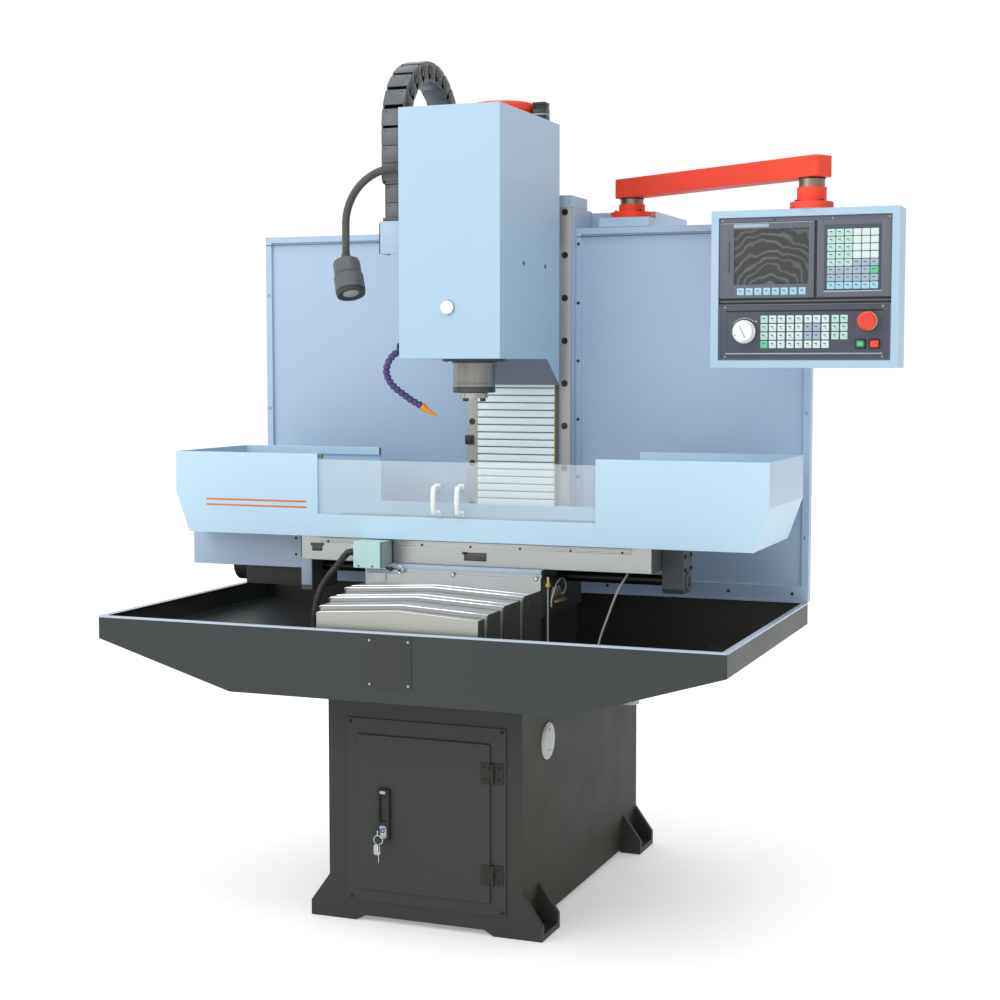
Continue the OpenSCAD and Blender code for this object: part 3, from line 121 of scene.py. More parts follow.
class Finish(Tree):  # one material, built round its shader
    def __init__(self, name):
        self.material = bpy.data.materials.new(name)
        self.material.use_nodes = True
        super().__init__(self.material.node_tree)
        self.shader = self.tree.nodes["Principled BSDF"]

    def fix(self, key, value):
        self.shader.inputs[key].default_value = value

    def feed(self, key, value):
        self.tree.links.new(value.socket, self.shader.inputs[key])

    def place(self, scale=(1, 1, 1)):  # object coordinates in metres
        where = self.node("ShaderNodeTexCoord", output="Object")
        return self.node("ShaderNodeMapping", None, {"Vector": where, "Scale": scale})

    def cloud(self, scale, detail=2.0, stretch=(1, 1, 1)):  # soft noise, 0 to 1
        return self.node("ShaderNodeTexNoise", None,
                         {"Vector": self.place(stretch), "Scale": scale, "Detail": detail})

    def blend(self, mask, low, high):  # a colour between two
        low, high = (c if isinstance(c, Value) else (*c, 1) for c in (low, high))
        return self.node("ShaderNodeMix", {"data_type": "RGBA"}, {0: mask, 6: low, 7: high}, output=2)

    def bump(self, height, strength, reach):
        self.feed("Normal", self.node("ShaderNodeBump", None,
                                      {"Height": height, "Strength": strength, "Distance": reach}))


def lighter(colour, by, add=0.0):
    return tuple(min(1, c * by + add) for c in colour)


# noise scales with their detail, where dust shows, how far gloss wanders, how deep a bump reaches
coat = {"drift": (2.3, 3), "dust": (160, 4), "dustAbove": 0.66, "dustTone": (2.4, 0.02), "uneven": (9, 4),
        "gloss": 0.16, "reach": 0.0006}
metal = {"stain": (6, 3), "streakTone": (0.94, 1.05), "stainTone": 0.76, "stainMost": 0.4,
         "gloss": (0.10, 0.12),
         "reach": 0.0002}
barrel = {"bands": (34, 1, (1, 1, 0.01)), "lines": (260, 2, (1, 1, 0.02)), "share": (0.8, 0.2), "rough": 0.3}


def paint(name, colour, rough=0.4, peel=0.04, grain=1500, drift=0.08, dust=0, specular=0.5):
    # paint or moulded plastic: slow drift of tone, orange-peel bump, uneven gloss and a little dust
    made = Finish(name)
    made.fix("Specular IOR Level", specular)
    tone = made.blend(made.cloud(*coat["drift"]), lighter(colour, 1 - drift), lighter(colour, 1 + drift))
    if dust:
        specks = (made.cloud(*coat["dust"]) > coat["dustAbove"]) * dust
        tone = made.blend(specks, tone, lighter(colour, *coat["dustTone"]))
    made.feed("Base Color", tone)
    made.feed("Roughness", rough + coat["gloss"] * (made.cloud(*coat["uneven"]) - 0.5))
    made.bump(made.cloud(grain, 2), peel, coat["reach"])
    return made


def steel(name, colour, rough=0.3, along=(1, 1, 1), grit=420, depth=0.03, metallic=1.0):
    # ground or brushed metal: noise drawn out along the cut, in tone, gloss and height
    made = Finish(name)
    made.fix("Metallic", metallic)
    streak = made.cloud(grit, 3, along)
    stain = made.cloud(*metal["stain"])
    tone = made.blend(streak, *(lighter(colour, by) for by in metal["streakTone"]))
    made.feed("Base Color", made.blend(stain * metal["stainMost"], tone, lighter(colour, metal["stainTone"])))
    fine, broad = metal["gloss"]
    made.feed("Roughness", rough + fine * (streak - 0.5) + broad * (stain - 0.5))
    made.bump(streak, depth, metal["reach"])
    return made


def reflectionBanded(name, dark, light):
    # polished round steel with painted reflections: noise of x and y alone, so bright and dark bands run up
    # the barrel, with fine polish lines
    made = Finish(name)
    made.fix("Metallic", 1)
    fine, (most, least) = made.cloud(*barrel["lines"]), barrel["share"]
    made.feed("Base Color", made.blend(made.cloud(*barrel["bands"]) * most + fine * least, dark, light))
    made.feed("Roughness", barrel["rough"] + 0.08 * fine)
    made.bump(fine, 0.02, metal["reach"])
    return made


reflectionMiddle = (-0.721, 0.085, -1.47)  # the painted reflection's rings are centred on the screen, in metres


def screenGlass():  # dark display glass with a painted reflection: bright bent streaks in its colour, with a matching bump
    made = Finish("screen")
    made.fix("Coat Weight", 0.35)
    made.fix("Coat Roughness", 0.1)
    where = made.node("ShaderNodeTexCoord", output="Object")
    middle = made.node("ShaderNodeMapping", None, {"Vector": where, "Location": reflectionMiddle})
    bend = made.node("ShaderNodeTexWave", {"wave_type": "RINGS", "rings_direction": "Y"},
                     {"Vector": middle, "Scale": 17.0, "Distortion": 9.0, "Detail": 1.5,
                      "Detail Scale": 1.3}, output=1)
    reflectionStreak = made.node("ShaderNodeMapRange", None, {"Value": bend, "From Min": 0.6, "From Max": 1.0})
    made.feed("Base Color", made.blend(reflectionStreak * made.cloud(12, 2), (0.022, 0.025, 0.025), (0.16, 0.17, 0.17)))
    made.feed("Roughness", 0.25 + 0.15 * made.cloud(30, 2))
    made.bump(bend, 0.05, 0.002)
    return made


def clearPane():  # clear sheet with faint wiping marks
    made = Finish("pane")
    made.fix("IOR", 1.45)
    made.fix("Base Color", (0.80, 0.89, 0.93, 1))
    wipe = made.cloud(22, 3, (1, 1, 0.2))
    made.feed("Alpha", 0.16 + 0.10 * wipe)
    made.feed("Roughness", 0.05 + 0.10 * wipe)
    made.bump(made.cloud(5, 2), 0.04, 0.003)
    return made


def lampLens():  # pale ribbed lens
    made = Finish("lens")
    made.fix("Coat Weight", 0.6)
    ribs = made.cloud(260, 2)
    made.feed("Base Color", made.blend(ribs, (0.22, 0.24, 0.22), (0.40, 0.42, 0.40)))
    made.feed("Roughness", 0.2 + 0.1 * ribs)
    made.bump(ribs, 0.3, 0.001)
    return made


alongX, alongY, alongZ, even = (0.03, 1, 1), (1, 0.03, 1), (1, 1, 0.03), (1, 1, 1)
# colour, roughness, bump, grain of the bump, drift of tone, dust, specular level
coats = {
    "blue": ((0.385, 0.54, 0.675), 0.4, 0.04, 620, 0.03),
    "guardBlue": ((0.48, 0.665, 0.81), 0.38, 0.03, 700, 0.025),
    # painted shade: a darker copy of guardBlue for the guard's right end
    "guardShade": ((0.40, 0.53, 0.65), 0.4, 0.03, 700, 0.03),
    # painted shade: a darker copy of blue for the faces under the head
    "shadeBlue": ((0.19, 0.21, 0.255), 0.5, 0.05, 620, 0.05),
    "panelBlue": ((0.40, 0.52, 0.67), 0.45, 0.05, 560, 0.04),
    "castBlue": ((0.40, 0.50, 0.64), 0.5, 0.2, 190, 0.06),
    # dark cast paint of the bed and the oil plate, also the painted shade on the covers' and the saddle's
    # right faces
    "castDark": ((0.055, 0.058, 0.055), 0.5, 0.12, 190, 0.1),
    "dark": ((0.035, 0.037, 0.033), 0.5, 0.3, 430, 0.14, 0.12, 0.25),
    # painted shade: a darker copy of dark for the cabinet's right wall
    "darkSide": ((0.027, 0.027, 0.019), 0.5, 0.3, 430, 0.16, 0.04, 0.15),
    "doorDark": ((0.036, 0.040, 0.036), 0.46, 0.25, 480, 0.1, 0.1, 0.25),
    "plateDark": ((0.024, 0.026, 0.021), 0.4, 0.15, 480, 0.1, 0, 0.22),
    "slate": ((0.037, 0.044, 0.045), 0.42, 0.12, 520, 0.08, 0, 0.25),
    # painted shade: a darker copy of the tray's paint for its inside
    "trayInside": ((0.046, 0.047, 0.040), 0.36, 0.12, 300, 0.2),
    # painted highlight: a light copy of the tray's paint along its rim
    "rim": ((0.42, 0.50, 0.60), 0.34, 0.05, 500, 0.05),
    # painted shadow under the panels' top flange
    "seam": ((0.10, 0.12, 0.15), 0.6, 0.05, 500, 0.1),
    # dark grey paint of the bearing housing, also the painted shade on the table's right faces
    "bedGrey": ((0.10, 0.11, 0.115), 0.5, 0.08, 170, 0.12),
    "red": ((0.82, 0.052, 0.018), 0.5, 0.03, 500, 0.05),
    "mint": ((0.47, 0.68, 0.68), 0.4, 0.1, 420, 0.05),
    # painted shade: a darker copy of mint for the switch box's right side
    "mintShade": ((0.30, 0.385, 0.385), 0.45, 0.1, 420, 0.05),
    "enamel": ((0.022, 0.022, 0.024), 0.38, 0.1, 420, 0.2),
    "tankGrey": ((0.22, 0.25, 0.27), 0.45, 0.1, 420, 0.1),
    "olive": ((0.20, 0.19, 0.14), 0.5, 0.08, 500, 0.06),
    "orange": ((0.62, 0.19, 0.045), 0.4, 0.03, 600, 0.04),
    "blackPlastic": ((0.020, 0.021, 0.020), 0.36, 0.08, 900, 0.15),
    "conduit": ((0.040, 0.042, 0.035), 0.3, 0.04, 900, 0.1),
    "chainBody": ((0.075, 0.083, 0.084), 0.36, 0.06, 800, 0.12),
    "chainEdge": ((0.105, 0.115, 0.125), 0.33, 0.06, 800, 0.1),
    "chainDark": ((0.030, 0.033, 0.034), 0.4, 0.06, 800, 0.12),
    "rubber": ((0.013, 0.013, 0.013), 0.6, 0.2, 600, 0.12),
    "lampArm": ((0.070, 0.075, 0.062), 0.5, 0.1, 600, 0.12),
    "lampShell": ((0.085, 0.092, 0.098), 0.42, 0.1, 600, 0.1),
    "lampDark": ((0.030, 0.032, 0.026), 0.45, 0.1, 600, 0.1),
    "white": ((0.82, 0.84, 0.82), 0.35),
    "capGrey": ((0.44, 0.48, 0.45), 0.4),
    "slat": ((0.86, 0.96, 0.98), 0.3, 0.03, 500, 0.03),
    # painted shade, for the gaps between the slats and the folds of the rail ends
    "gap": ((0.17, 0.18, 0.16), 0.5, 0.05, 500, 0.1),
    "yellow": ((0.50, 0.50, 0.12), 0.45),
    "amber": ((0.85, 0.46, 0.05), 0.4),
    "purple": ((0.055, 0.040, 0.17), 0.32, 0.06, 900, 0.1),
    "hoseRing": ((0.10, 0.085, 0.24), 0.35),
    "nozzle": ((0.90, 0.34, 0.035), 0.35),
    "bezel": ((0.112, 0.122, 0.152), 0.5, 0.2, 700, 0.05),
    "field": ((0.052, 0.066, 0.094), 0.5, 0.1, 900, 0.05),
    "keyWhite": ((0.62, 0.72, 0.72), 0.5),
    "keyGreen": ((0.46, 0.66, 0.60), 0.5),
    "keyLeaf": ((0.12, 0.52, 0.30), 0.5),
    "keyBlue": ((0.34, 0.60, 0.72), 0.5),
    "keyGrey": ((0.33, 0.43, 0.52), 0.5),
    "buttonRed": ((0.80, 0.030, 0.018), 0.24),
    "buttonGreen": ((0.015, 0.20, 0.08), 0.26),
    "hoseClear": ((0.50, 0.51, 0.46), 0.28, 0.05, 800, 0.06),
    "lockBlue": ((0.03, 0.16, 0.42), 0.3),
}
# colour, roughness, stretch of the grain, its scale, bump, metallic
metals = {
    "brushedX": ((0.45, 0.47, 0.46), 0.34, alongX),
    "brushedY": ((0.50, 0.51, 0.50), 0.3, alongY),
    "brushedZ": ((0.48, 0.485, 0.48), 0.4, alongZ, 420, 0.03, 0.25),
    "coverSteel": ((0.56, 0.60, 0.64), 0.34, alongX, 420, 0.0, 0.8),
    "coverFront": ((0.42, 0.42, 0.385), 0.42, alongX, 420, 0.01, 0.6),
    "plateSteel": ((0.50, 0.515, 0.505), 0.36, alongX),
    "turned": ((0.46, 0.46, 0.44), 0.26, (0.12, 0.12, 1), 900),
    "flange": ((0.10, 0.10, 0.10), 0.34, (0.3, 0.3, 1), 500),
    "zinc": ((0.40, 0.41, 0.42), 0.34, even, 900),
    "black": ((0.06, 0.06, 0.058), 0.42, even, 900),
    "dogSteel": ((0.10, 0.10, 0.088), 0.42, even, 900),
    "brass": ((0.72, 0.50, 0.20), 0.28, even, 800),
    "chrome": ((0.72, 0.73, 0.74), 0.16, even, 500, 0.02),
}
barrels = {
    "quill": ((0.05, 0.05, 0.045), (0.46, 0.46, 0.44)),
    "ringSteel": ((0.12, 0.09, 0.06), (0.50, 0.43, 0.36)),
}
# painted glow: the slats give off a faint light of their own
extras = {"slat": {"Emission Color": (0.86, 0.97, 1, 1), "Emission Strength": 0.08},
          "buttonRed": {"Coat Weight": 0.5, "Coat Roughness": 0.1},
          "buttonGreen": {"Coat Weight": 0.4}}
finish = {"screen": screenGlass(), "pane": clearPane(), "lens": lampLens()}
for make, table in ((paint, coats), (steel, metals), (reflectionBanded, barrels)):
    finish.update({name: make(name, *row) for name, row in table.items()})
for name, constants in extras.items():
    for key, value in constants.items():
        finish[name].fix(key, value)
print("finishes made:", len(finish))


# a part is its points in mm, its quads, and the finish number of each quad
axis = {"up": ((1, 0, 0), (0, 1, 0), (0, 0, 1)), "down": ((1, 0, 0), (0, -1, 0), (0, 0, -1)),
        "front": ((1, 0, 0), (0, 0, 1), (0, -1, 0)), "back": ((-1, 0, 0), (0, 0, 1), (0, 1, 0)),
        "right": ((0, 1, 0), (0, 0, 1), (1, 0, 0)), "left": ((0, -1, 0), (0, 0, 1), (-1, 0, 0))}


def span(node):  # a solid's box in mm
    low, high = (np.array(c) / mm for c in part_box(node))
    return SimpleNamespace(x0=low[0], x1=high[0], y0=low[1], y1=high[1], z0=low[2], z1=high[2])


def spots(xs, ys, zs):  # every meeting of the given x, y and z
    return np.stack(np.meshgrid(xs, ys, zs, indexing="ij"), -1).reshape(-1, 3)


def circle(count, start=0):  # count angles round a full turn from a start in degrees
    return math.radians(start) + np.arange(count) * 2 * np.pi / count


def arc(middle, across, up, angles):  # middle + across cos a + up sin a
    a = np.asarray(angles)[:, None]
    return np.array(middle, float) + np.cos(a) * np.array(across, float) + np.sin(a) * np.array(up, float)


def surface(grid, tone=0, closed=True):
    # quad (i, j) joins rows i and i + 1 with columns j and j + 1; closed ends run to their middles
    grid = np.asarray(grid, float)
    if closed:
        first, last = (np.broadcast_to(grid[k].mean(0), grid[k].shape)[None] for k in (0, -1))
        grid = np.concatenate([first, grid, last])
    rows, cols = grid.shape[:2]
    i = np.arange(rows - 1)[:, None] * cols
    j = np.arange(cols if closed else cols - 1)[None, :]
    k = (j + 1) % cols
    quads = np.stack([i + j, i + k, i + cols + k, i + cols + j], -1).reshape(-1, 4)
    return grid.reshape(-1, 3), quads, np.full(len(quads), tone)


def rounded(width, height, corner, steps=4):
    # u = +-(width / 2 - r) + r cos a and v = +-(height / 2 - r) + r sin a, drawn in by an inset
    def at(inset):
        r = max(corner - inset, 0.0)
        a = np.radians(np.add.outer(np.arange(4) * 90, np.linspace(0, 90, steps + 1))).ravel()
        signU = np.repeat([1, -1, -1, 1], steps + 1)
        signV = np.repeat([1, 1, -1, -1], steps + 1)
        return np.stack([signU * (width / 2 - inset - r) + r * np.cos(a),
                         signV * (height / 2 - inset - r) + r * np.sin(a)], 1)
    return at


def disc(radius, sides):  # u = (radius - inset) cos a, v = (radius - inset) sin a
    a = circle(sides)
    return lambda inset: (radius - inset) * np.stack([np.cos(a), np.sin(a)], 1)


def loft(outline, profile, at, facing="up", tone=0):
    # each ring is the outline drawn in by an (inset, height) of the profile, at that height
    u, v, w = (np.array(a, float) for a in axis[facing])
    rings = np.stack([outline(inset) for inset, height in profile])
    heights = np.array([height for inset, height in profile], float)[:, None, None]
    return surface(np.array(at, float) + rings[..., :1] * u + rings[..., 1:] * v + heights * w, tone)


def soft(height, edge=1.0, under=0.0, steps=3):  # profile of a plate with a rounded upper edge
    a = np.linspace(0, np.pi / 2, steps + 1)
    top = [(edge * (1 - math.cos(t)), height - edge + edge * math.sin(t)) for t in a]
    return [(under, 0), (0, under)] + top


def turned(profile, at=(0, 0, 0), facing="up", sides=28, tone=0, flute=None):
    # r cos a, r sin a, h for each (r, h) of the profile; flute(a, h) changes r
    u, v, w = (np.array(k, float) for k in axis[facing])
    r, h = np.array(profile, float).T[..., None]
    a = circle(sides)[None, :]
    if flute is not None:
        r = r + flute(a, h) * (r > 0)
    return surface(np.array(at, float) + (r * np.cos(a))[..., None] * u + (r * np.sin(a))[..., None] * v
                   + (h + 0 * a)[..., None] * w, tone)


def block(x0, x1, y0, y1, z0, z1, edge=0.8, tone=0):  # box with rounded edges
    low, high = np.minimum((x0, y0, z0), (x1, y1, z1)), np.maximum((x0, y0, z0), (x1, y1, z1))
    size = high - low
    edge = min(edge, size.min() * 0.45)
    arc = edge * (1 - math.cos(math.pi / 4))
    profile = [(edge, 0), (arc, arc), (0, edge), (0, size[2] - edge), (arc, size[2] - arc), (edge, size[2])]
    return loft(rounded(size[0], size[1], edge, 2), profile, (*(low + high)[:2] / 2, low[2]), "up", tone)


def lengths(path):  # run of the path up to each of its points
    return np.concatenate([[0], np.cumsum(np.linalg.norm(np.diff(path, axis=0), axis=1))])


def smooth(points, count):  # Catmull-Rom curve through the points, at count even steps of its length
    p = np.asarray(points, float)
    p = np.concatenate([2 * p[:1] - p[1:2], p, 2 * p[-1:] - p[-2:-1]])
    t = np.linspace(0, len(points) - 1, 40 * len(points))
    i = np.minimum(t.astype(int), len(points) - 2)
    f = (t - i)[:, None]
    a, b, c, d = p[i], p[i + 1], p[i + 2], p[i + 3]
    line = 0.5 * (2 * b + (c - a) * f + (2 * a - 5 * b + 4 * c - d) * f ** 2
                  + (3 * b - a - 3 * c + d) * f ** 3)
    run = lengths(line)
    steps = np.linspace(0, run[-1], count)
    return np.stack([np.interp(steps, run, line[:, k]) for k in range(3)], 1)


def tube(path, radius, side=(0, 1, 0), sides=12, tone=0):
    # p(s) + r(s) (cos a u + sin a v), with u square to the path and to the side
    path = np.asarray(path, float)
    t = np.gradient(path, axis=0)
    t /= np.linalg.norm(t, axis=1)[:, None]
    u = np.cross(t, np.array(side, float))
    u /= np.linalg.norm(u, axis=1)[:, None]
    v = np.cross(t, u)
    a = circle(sides)[None, :, None]
    r = np.broadcast_to(np.asarray(radius, float), (len(path),))[:, None, None]
    return surface(path[:, None] + r * (np.cos(a) * u[:, None] + np.sin(a) * v[:, None]), tone)


def repeat(part, offsets):  # the part again at each offset
    offsets = np.atleast_2d(np.asarray(offsets, float))
    points, quads, tone = part
    starts = np.arange(len(offsets))[:, None, None] * len(points)
    return ((points[None] + offsets[:, None]).reshape(-1, 3), (quads[None] + starts).reshape(-1, 4),
            np.tile(tone, len(offsets)))


def turn(part, degrees, about, line="x"):  # the part turned about a point
    k = "xyz".index(line)
    i, j = (k + 1) % 3, (k + 2) % 3
    c, s = math.cos(math.radians(degrees)), math.sin(math.radians(degrees))
    points = part[0] - np.array(about, float)
    moved = points.copy()
    moved[:, i] = c * points[:, i] - s * points[:, j]
    moved[:, j] = s * points[:, i] + c * points[:, j]
    return moved + np.array(about, float), part[1], part[2]


def joined(parts):
    start = np.cumsum([0] + [len(p[0]) for p in parts[:-1]])
    return (np.concatenate([p[0] for p in parts]), np.concatenate([p[1] + s for p, s in zip(parts, start)]),
            np.concatenate([p[2] for p in parts]))


def linked(name, mesh, finishes):  # the mesh as an object with its finishes, shaded smooth
    for key in finishes.split():
        mesh.materials.append(finish[key].material)
    mesh.polygons.foreach_set("use_smooth", np.ones(len(mesh.polygons), bool))
    made = bpy.data.objects.new(name, mesh)
    bpy.context.scene.collection.objects.link(made)
    return made


# degrees between faces where the shading breaks, or below which a solid's faces are one flat;
# corners per mm that tell points apart, and metres within which a solid's corners join
shading = {"piece": 32, "solid": 34, "flat": 0.5, "apart": 2000, "join": 2e-5}


def piece(name, body, finishes, parts, stands=(), blendWith=None):
    # points of one part that coincide become one, and a quad with an empty side becomes a triangle
    points, quads, tone = joined(parts)
    owner = np.repeat(np.arange(len(parts)), [len(p[0]) for p in parts])
    key = np.concatenate([owner[:, None], np.round(points * shading["apart"]).astype(np.int64)], 1)
    first, where = np.unique(key, axis=0, return_index=True, return_inverse=True)[1:]
    quads = where.reshape(-1)[quads]
    same = quads == np.roll(quads, -1, 1)
    whole = same.sum(1) == 0
    bent = same.sum(1) == 1
    tris = quads[bent][~same[bent]].reshape(-1, 3)
    loops = np.concatenate([quads[whole].ravel(), tris.ravel()])
    starts = np.concatenate([np.arange(whole.sum()) * 4, whole.sum() * 4 + np.arange(len(tris)) * 3])
    mesh = bpy.data.meshes.new(name)
    mesh.vertices.add(len(first))
    mesh.vertices.foreach_set("co", (points[first] * mm).astype(np.float32).ravel())
    mesh.loops.add(len(loops))
    mesh.loops.foreach_set("vertex_index", loops.astype(np.int32))
    mesh.polygons.add(len(starts))
    mesh.polygons.foreach_set("loop_start", starts.astype(np.int32))
    mesh.polygons.foreach_set("material_index", np.concatenate([tone[whole], tone[bent]]).astype(np.int32))
    mesh.update(calc_edges=True)
    mesh.validate()
    made = linked(name, mesh, finishes)
    mesh.set_sharp_from_angle(angle=math.radians(shading["piece"]))
    if blendWith:
        before, after, start, end = blendWith
        [c * mm for c in start]
        [c * mm for c in end]
        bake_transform(made)
    else:
        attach(made, body)
    if stands:
        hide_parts(*stands)


def dressed(node, finishes, edge, pick=None):
    # a solid's own shape with its corners joined, its flats made whole and its edges rounded
    source = frame["nodes"][node]
    work = bmesh.new()
    work.from_mesh(source.data)
    bmesh.ops.remove_doubles(work, verts=work.verts, dist=shading["join"])
    bmesh.ops.dissolve_limit(work, angle_limit=math.radians(shading["flat"]), verts=work.verts,
                             edges=work.edges)
    mesh = bpy.data.meshes.new(node + "Skin")
    work.to_mesh(mesh)
    work.free()
    if pick:
        centres, normals = np.zeros(len(mesh.polygons) * 3), np.zeros(len(mesh.polygons) * 3)
        mesh.polygons.foreach_get("center", centres)
        mesh.polygons.foreach_get("normal", normals)
        tone = pick(centres.reshape(-1, 3) / mm, normals.reshape(-1, 3))
        mesh.polygons.foreach_set("material_index", np.asarray(tone).astype(np.int32))
    made = linked(node + "Skin", mesh, finishes)
    bevel = made.modifiers.new("edges", "BEVEL")
    bevel.width, bevel.segments = edge * mm, 2
    bevel.limit_method, bevel.angle_limit = "ANGLE", math.radians(shading["solid"])
    bevel.use_clamp_overlap = True
    flats = made.modifiers.new("flats", "WEIGHTED_NORMAL")
    flats.keep_sharp = True
    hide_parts(node)
    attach(made, source["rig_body"])


# solids whose own shape is kept, with rounded edges and their finishes; a picker gives each face
# its finish from the faces' middles c (mm) and normals n

def above(*heights):  # the next finish above each height
    return lambda c, n: sum((c[:, 2] > z) * 1 for z in heights)


def shaded(c, n):  # painted shade: a second, darker finish on the faces that look to the right
    return n[:, 0] > 0.7


def coverFaces(c, n):  # bright roof, right side darker as painted shade, plain front
    return np.where(n[:, 1] < -0.7, 2, shaded(c, n) * 1)


def trayFaces(c, n):  # inside darker as painted shade, the folded rim's top lighter as a painted highlight
    inside = ((np.array(look["trayHeart"]) - c) * n).sum(1) > 0
    return np.where((c[:, 2] > tray.z1 - look["rim"]) & (n[:, 2] > 0.5), 2, inside)


def bedFaces(c, n):  # the ground way tops, in front of the column's foot
    return (c[:, 2] > saddle.z0 - look["wayDepth"]) & (c[:, 1] < look["wayEnd"]) & (n[:, 2] > 0.5)


def saddleFaces(c, n):  # bright front plate, right side dark as painted shade
    return np.where(c[:, 1] < look["saddlePlate"], 1, shaded(c, n) * 2)


def switchFaces(c, n):  # steel foot, right side darker as painted shade, black end on the left
    walls = np.where(shaded(c, n), 3, c[:, 0] < saddle.x0 - look["gland"])
    return np.where(c[:, 2] < switchBox.z1 - look["switchFoot"], 2, walls)


def noseFaces(c, n):  # black drive keys under the spindle nose
    low, high = look["noseKeys"]
    return ((c[:, 2] > spindle.z0 + low) & (c[:, 2] < spindle.z0 + high)
            & (np.abs(c[:, 1] + look["keyY"]) < look["keyHalf"]) & (np.abs(c[:, 0]) > look["keyIn"]))


look = {"baseRight": 280, "frameFront": 3.5, "doorFront": 8.5, "trayHeart": (0, -200, 660), "rim": 1,
        "wayDepth": 26, "wayEnd": 140, "saddlePlate": -271.5, "gland": 6.3, "switchFoot": 63.5,
        "noseKeys": (-1, 7.5), "keyY": 130, "keyHalf": 14, "keyIn": 15, "headShade": 70,
        "bracketSteel": 17, "bracketRed": 54, "beam": 48, "tipSteel": 22.8, "tipRed": 109}
saddle, doorFrame, spindle, tray = (span(n) for n in ("saddle", "door_frame", "spindle", "chip_tray"))
switchBox, headBox, guardBox = (span(n) for n in ("limit_switch_box", "head_cover", "table_guard"))
bracketTop, boxTop = span("arm_bracket").z1, span("control_box").z1
beamUnder = span("control_arm").z1 - look["beam"]

skins = {  # finishes, edge radius, picker
    # the cabinet's right wall in painted shade
    "base_cabinet": ("dark darkSide", 1.6, lambda c, n: shaded(c, n) & (c[:, 0] < look["baseRight"])),
    "door_frame": ("doorDark plateDark", 0.6, lambda c, n: c[:, 1] < doorFrame.y1 - look["frameFront"]),
    "base_door": ("doorDark plateDark", 0.9, lambda c, n: c[:, 1] < doorFrame.y1 - look["doorFront"]),
    "chip_tray": ("slate trayInside rim", 1.0, trayFaces),
    "bed": ("castDark brushedY", 1.5, bedFaces),
    "column": ("panelBlue", 2.0),
    "column_cap": ("blue", 2.0),
    "back_panel_left": ("panelBlue", 1.0),
    "back_panel_right": ("panelBlue", 1.0),
    "electrical_cabinet": ("panelBlue", 1.2),
    "cabinet_door": ("blue", 1.4),
    "arm_bracket": ("blue red ringSteel", 1.2,
                    above(bracketTop - look["bracketRed"], bracketTop - look["bracketSteel"])),
    "y_motor": ("enamel", 1.5),
    "z_motor": ("enamel", 1.5),
    "y_screw": ("turned", 0.5),
    "z_screw": ("turned", 0.5),
    "x_screw": ("black", 0.5),
    "coolant_tank": ("tankGrey", 1.5),
    "coolant_pump": ("enamel", 1.5),
    "cover_section_1": ("coverSteel castDark coverFront", 0.6, coverFaces),
    "cover_section_2": ("coverSteel castDark coverFront", 0.6, coverFaces),
    "cover_section_3": ("coverSteel castDark coverFront", 0.6, coverFaces),
    "cover_section_4": ("coverSteel castDark coverFront", 0.6, coverFaces),
    "saddle": ("castBlue plateSteel castDark", 1.5, saddleFaces),
    "limit_switch_box": ("mint blackPlastic plateSteel mintShade", 1.4, switchFaces),
    # the table's right faces take the dark grey as painted shade
    "table": ("brushedX bedGrey", 0.9, shaded),
    "x_motor": ("enamel", 1.5),
    "x_motor_cover": ("castBlue", 1.2),
    "x_bearing_housing": ("bedGrey", 3.0),
    # the guard's upright right end in painted shade
    "table_guard": ("guardBlue guardShade", 0.8, lambda c, n: n[:, 0] > 0.97),
    "head_casting": ("castBlue", 1.2),
    # the low faces under the head that look forward, in painted shade
    "head_cover": ("blue shadeBlue", 1.0,
                   lambda c, n: (c[:, 2] < headBox.z0 + look["headShade"]) & (n[:, 1] < -0.5)),
    "drive_belt": ("rubber", 0.5),
    "motor_pulley": ("turned", 0.5),
    "spindle": ("turned black", 0.7, noseFaces),
    "control_arm": ("red", 3.0),
    "control_box": ("blue red ringSteel", 1.6,
                    above(boxTop - look["tipRed"], beamUnder - look["tipSteel"])),
}
for node, dress in skins.items():
    dressed(node, *dress)
print("solids dressed:", len(skins))


def screws(places, radius=4.5, height=3.2, facing="front", tone=0):  # button heads with a socket
    r, h = radius, height
    profile = [(r, 0), (r, h * 0.35), (r * 0.86, h * 0.75), (r * 0.62, h), (r * 0.42, h),
               (r * 0.38, h * 0.45)]
    return repeat(turned(profile, (0, 0, 0), facing, 14, tone), places)


def hexNut(across, height, at, facing="up", tone=0):  # r cos a on six flats
    return loft(disc(across / math.sqrt(3), 6), [(0.4, 0), (0, 0.5), (0, height - 0.5), (0.5, height)],
                at, facing, tone)


# base cabinet: screws of the door's frame and hinges, gasket
base = {"inset": 9, "frameScrew": (4.2, 2.6), "hingeScrew": (3.4, 2), "hinges": (95, 331), "hingeHalf": 13,
        "hingeX": 157, "leafX": 16, "gasket": (30, 38), "lip": (0.6, 2.4)}


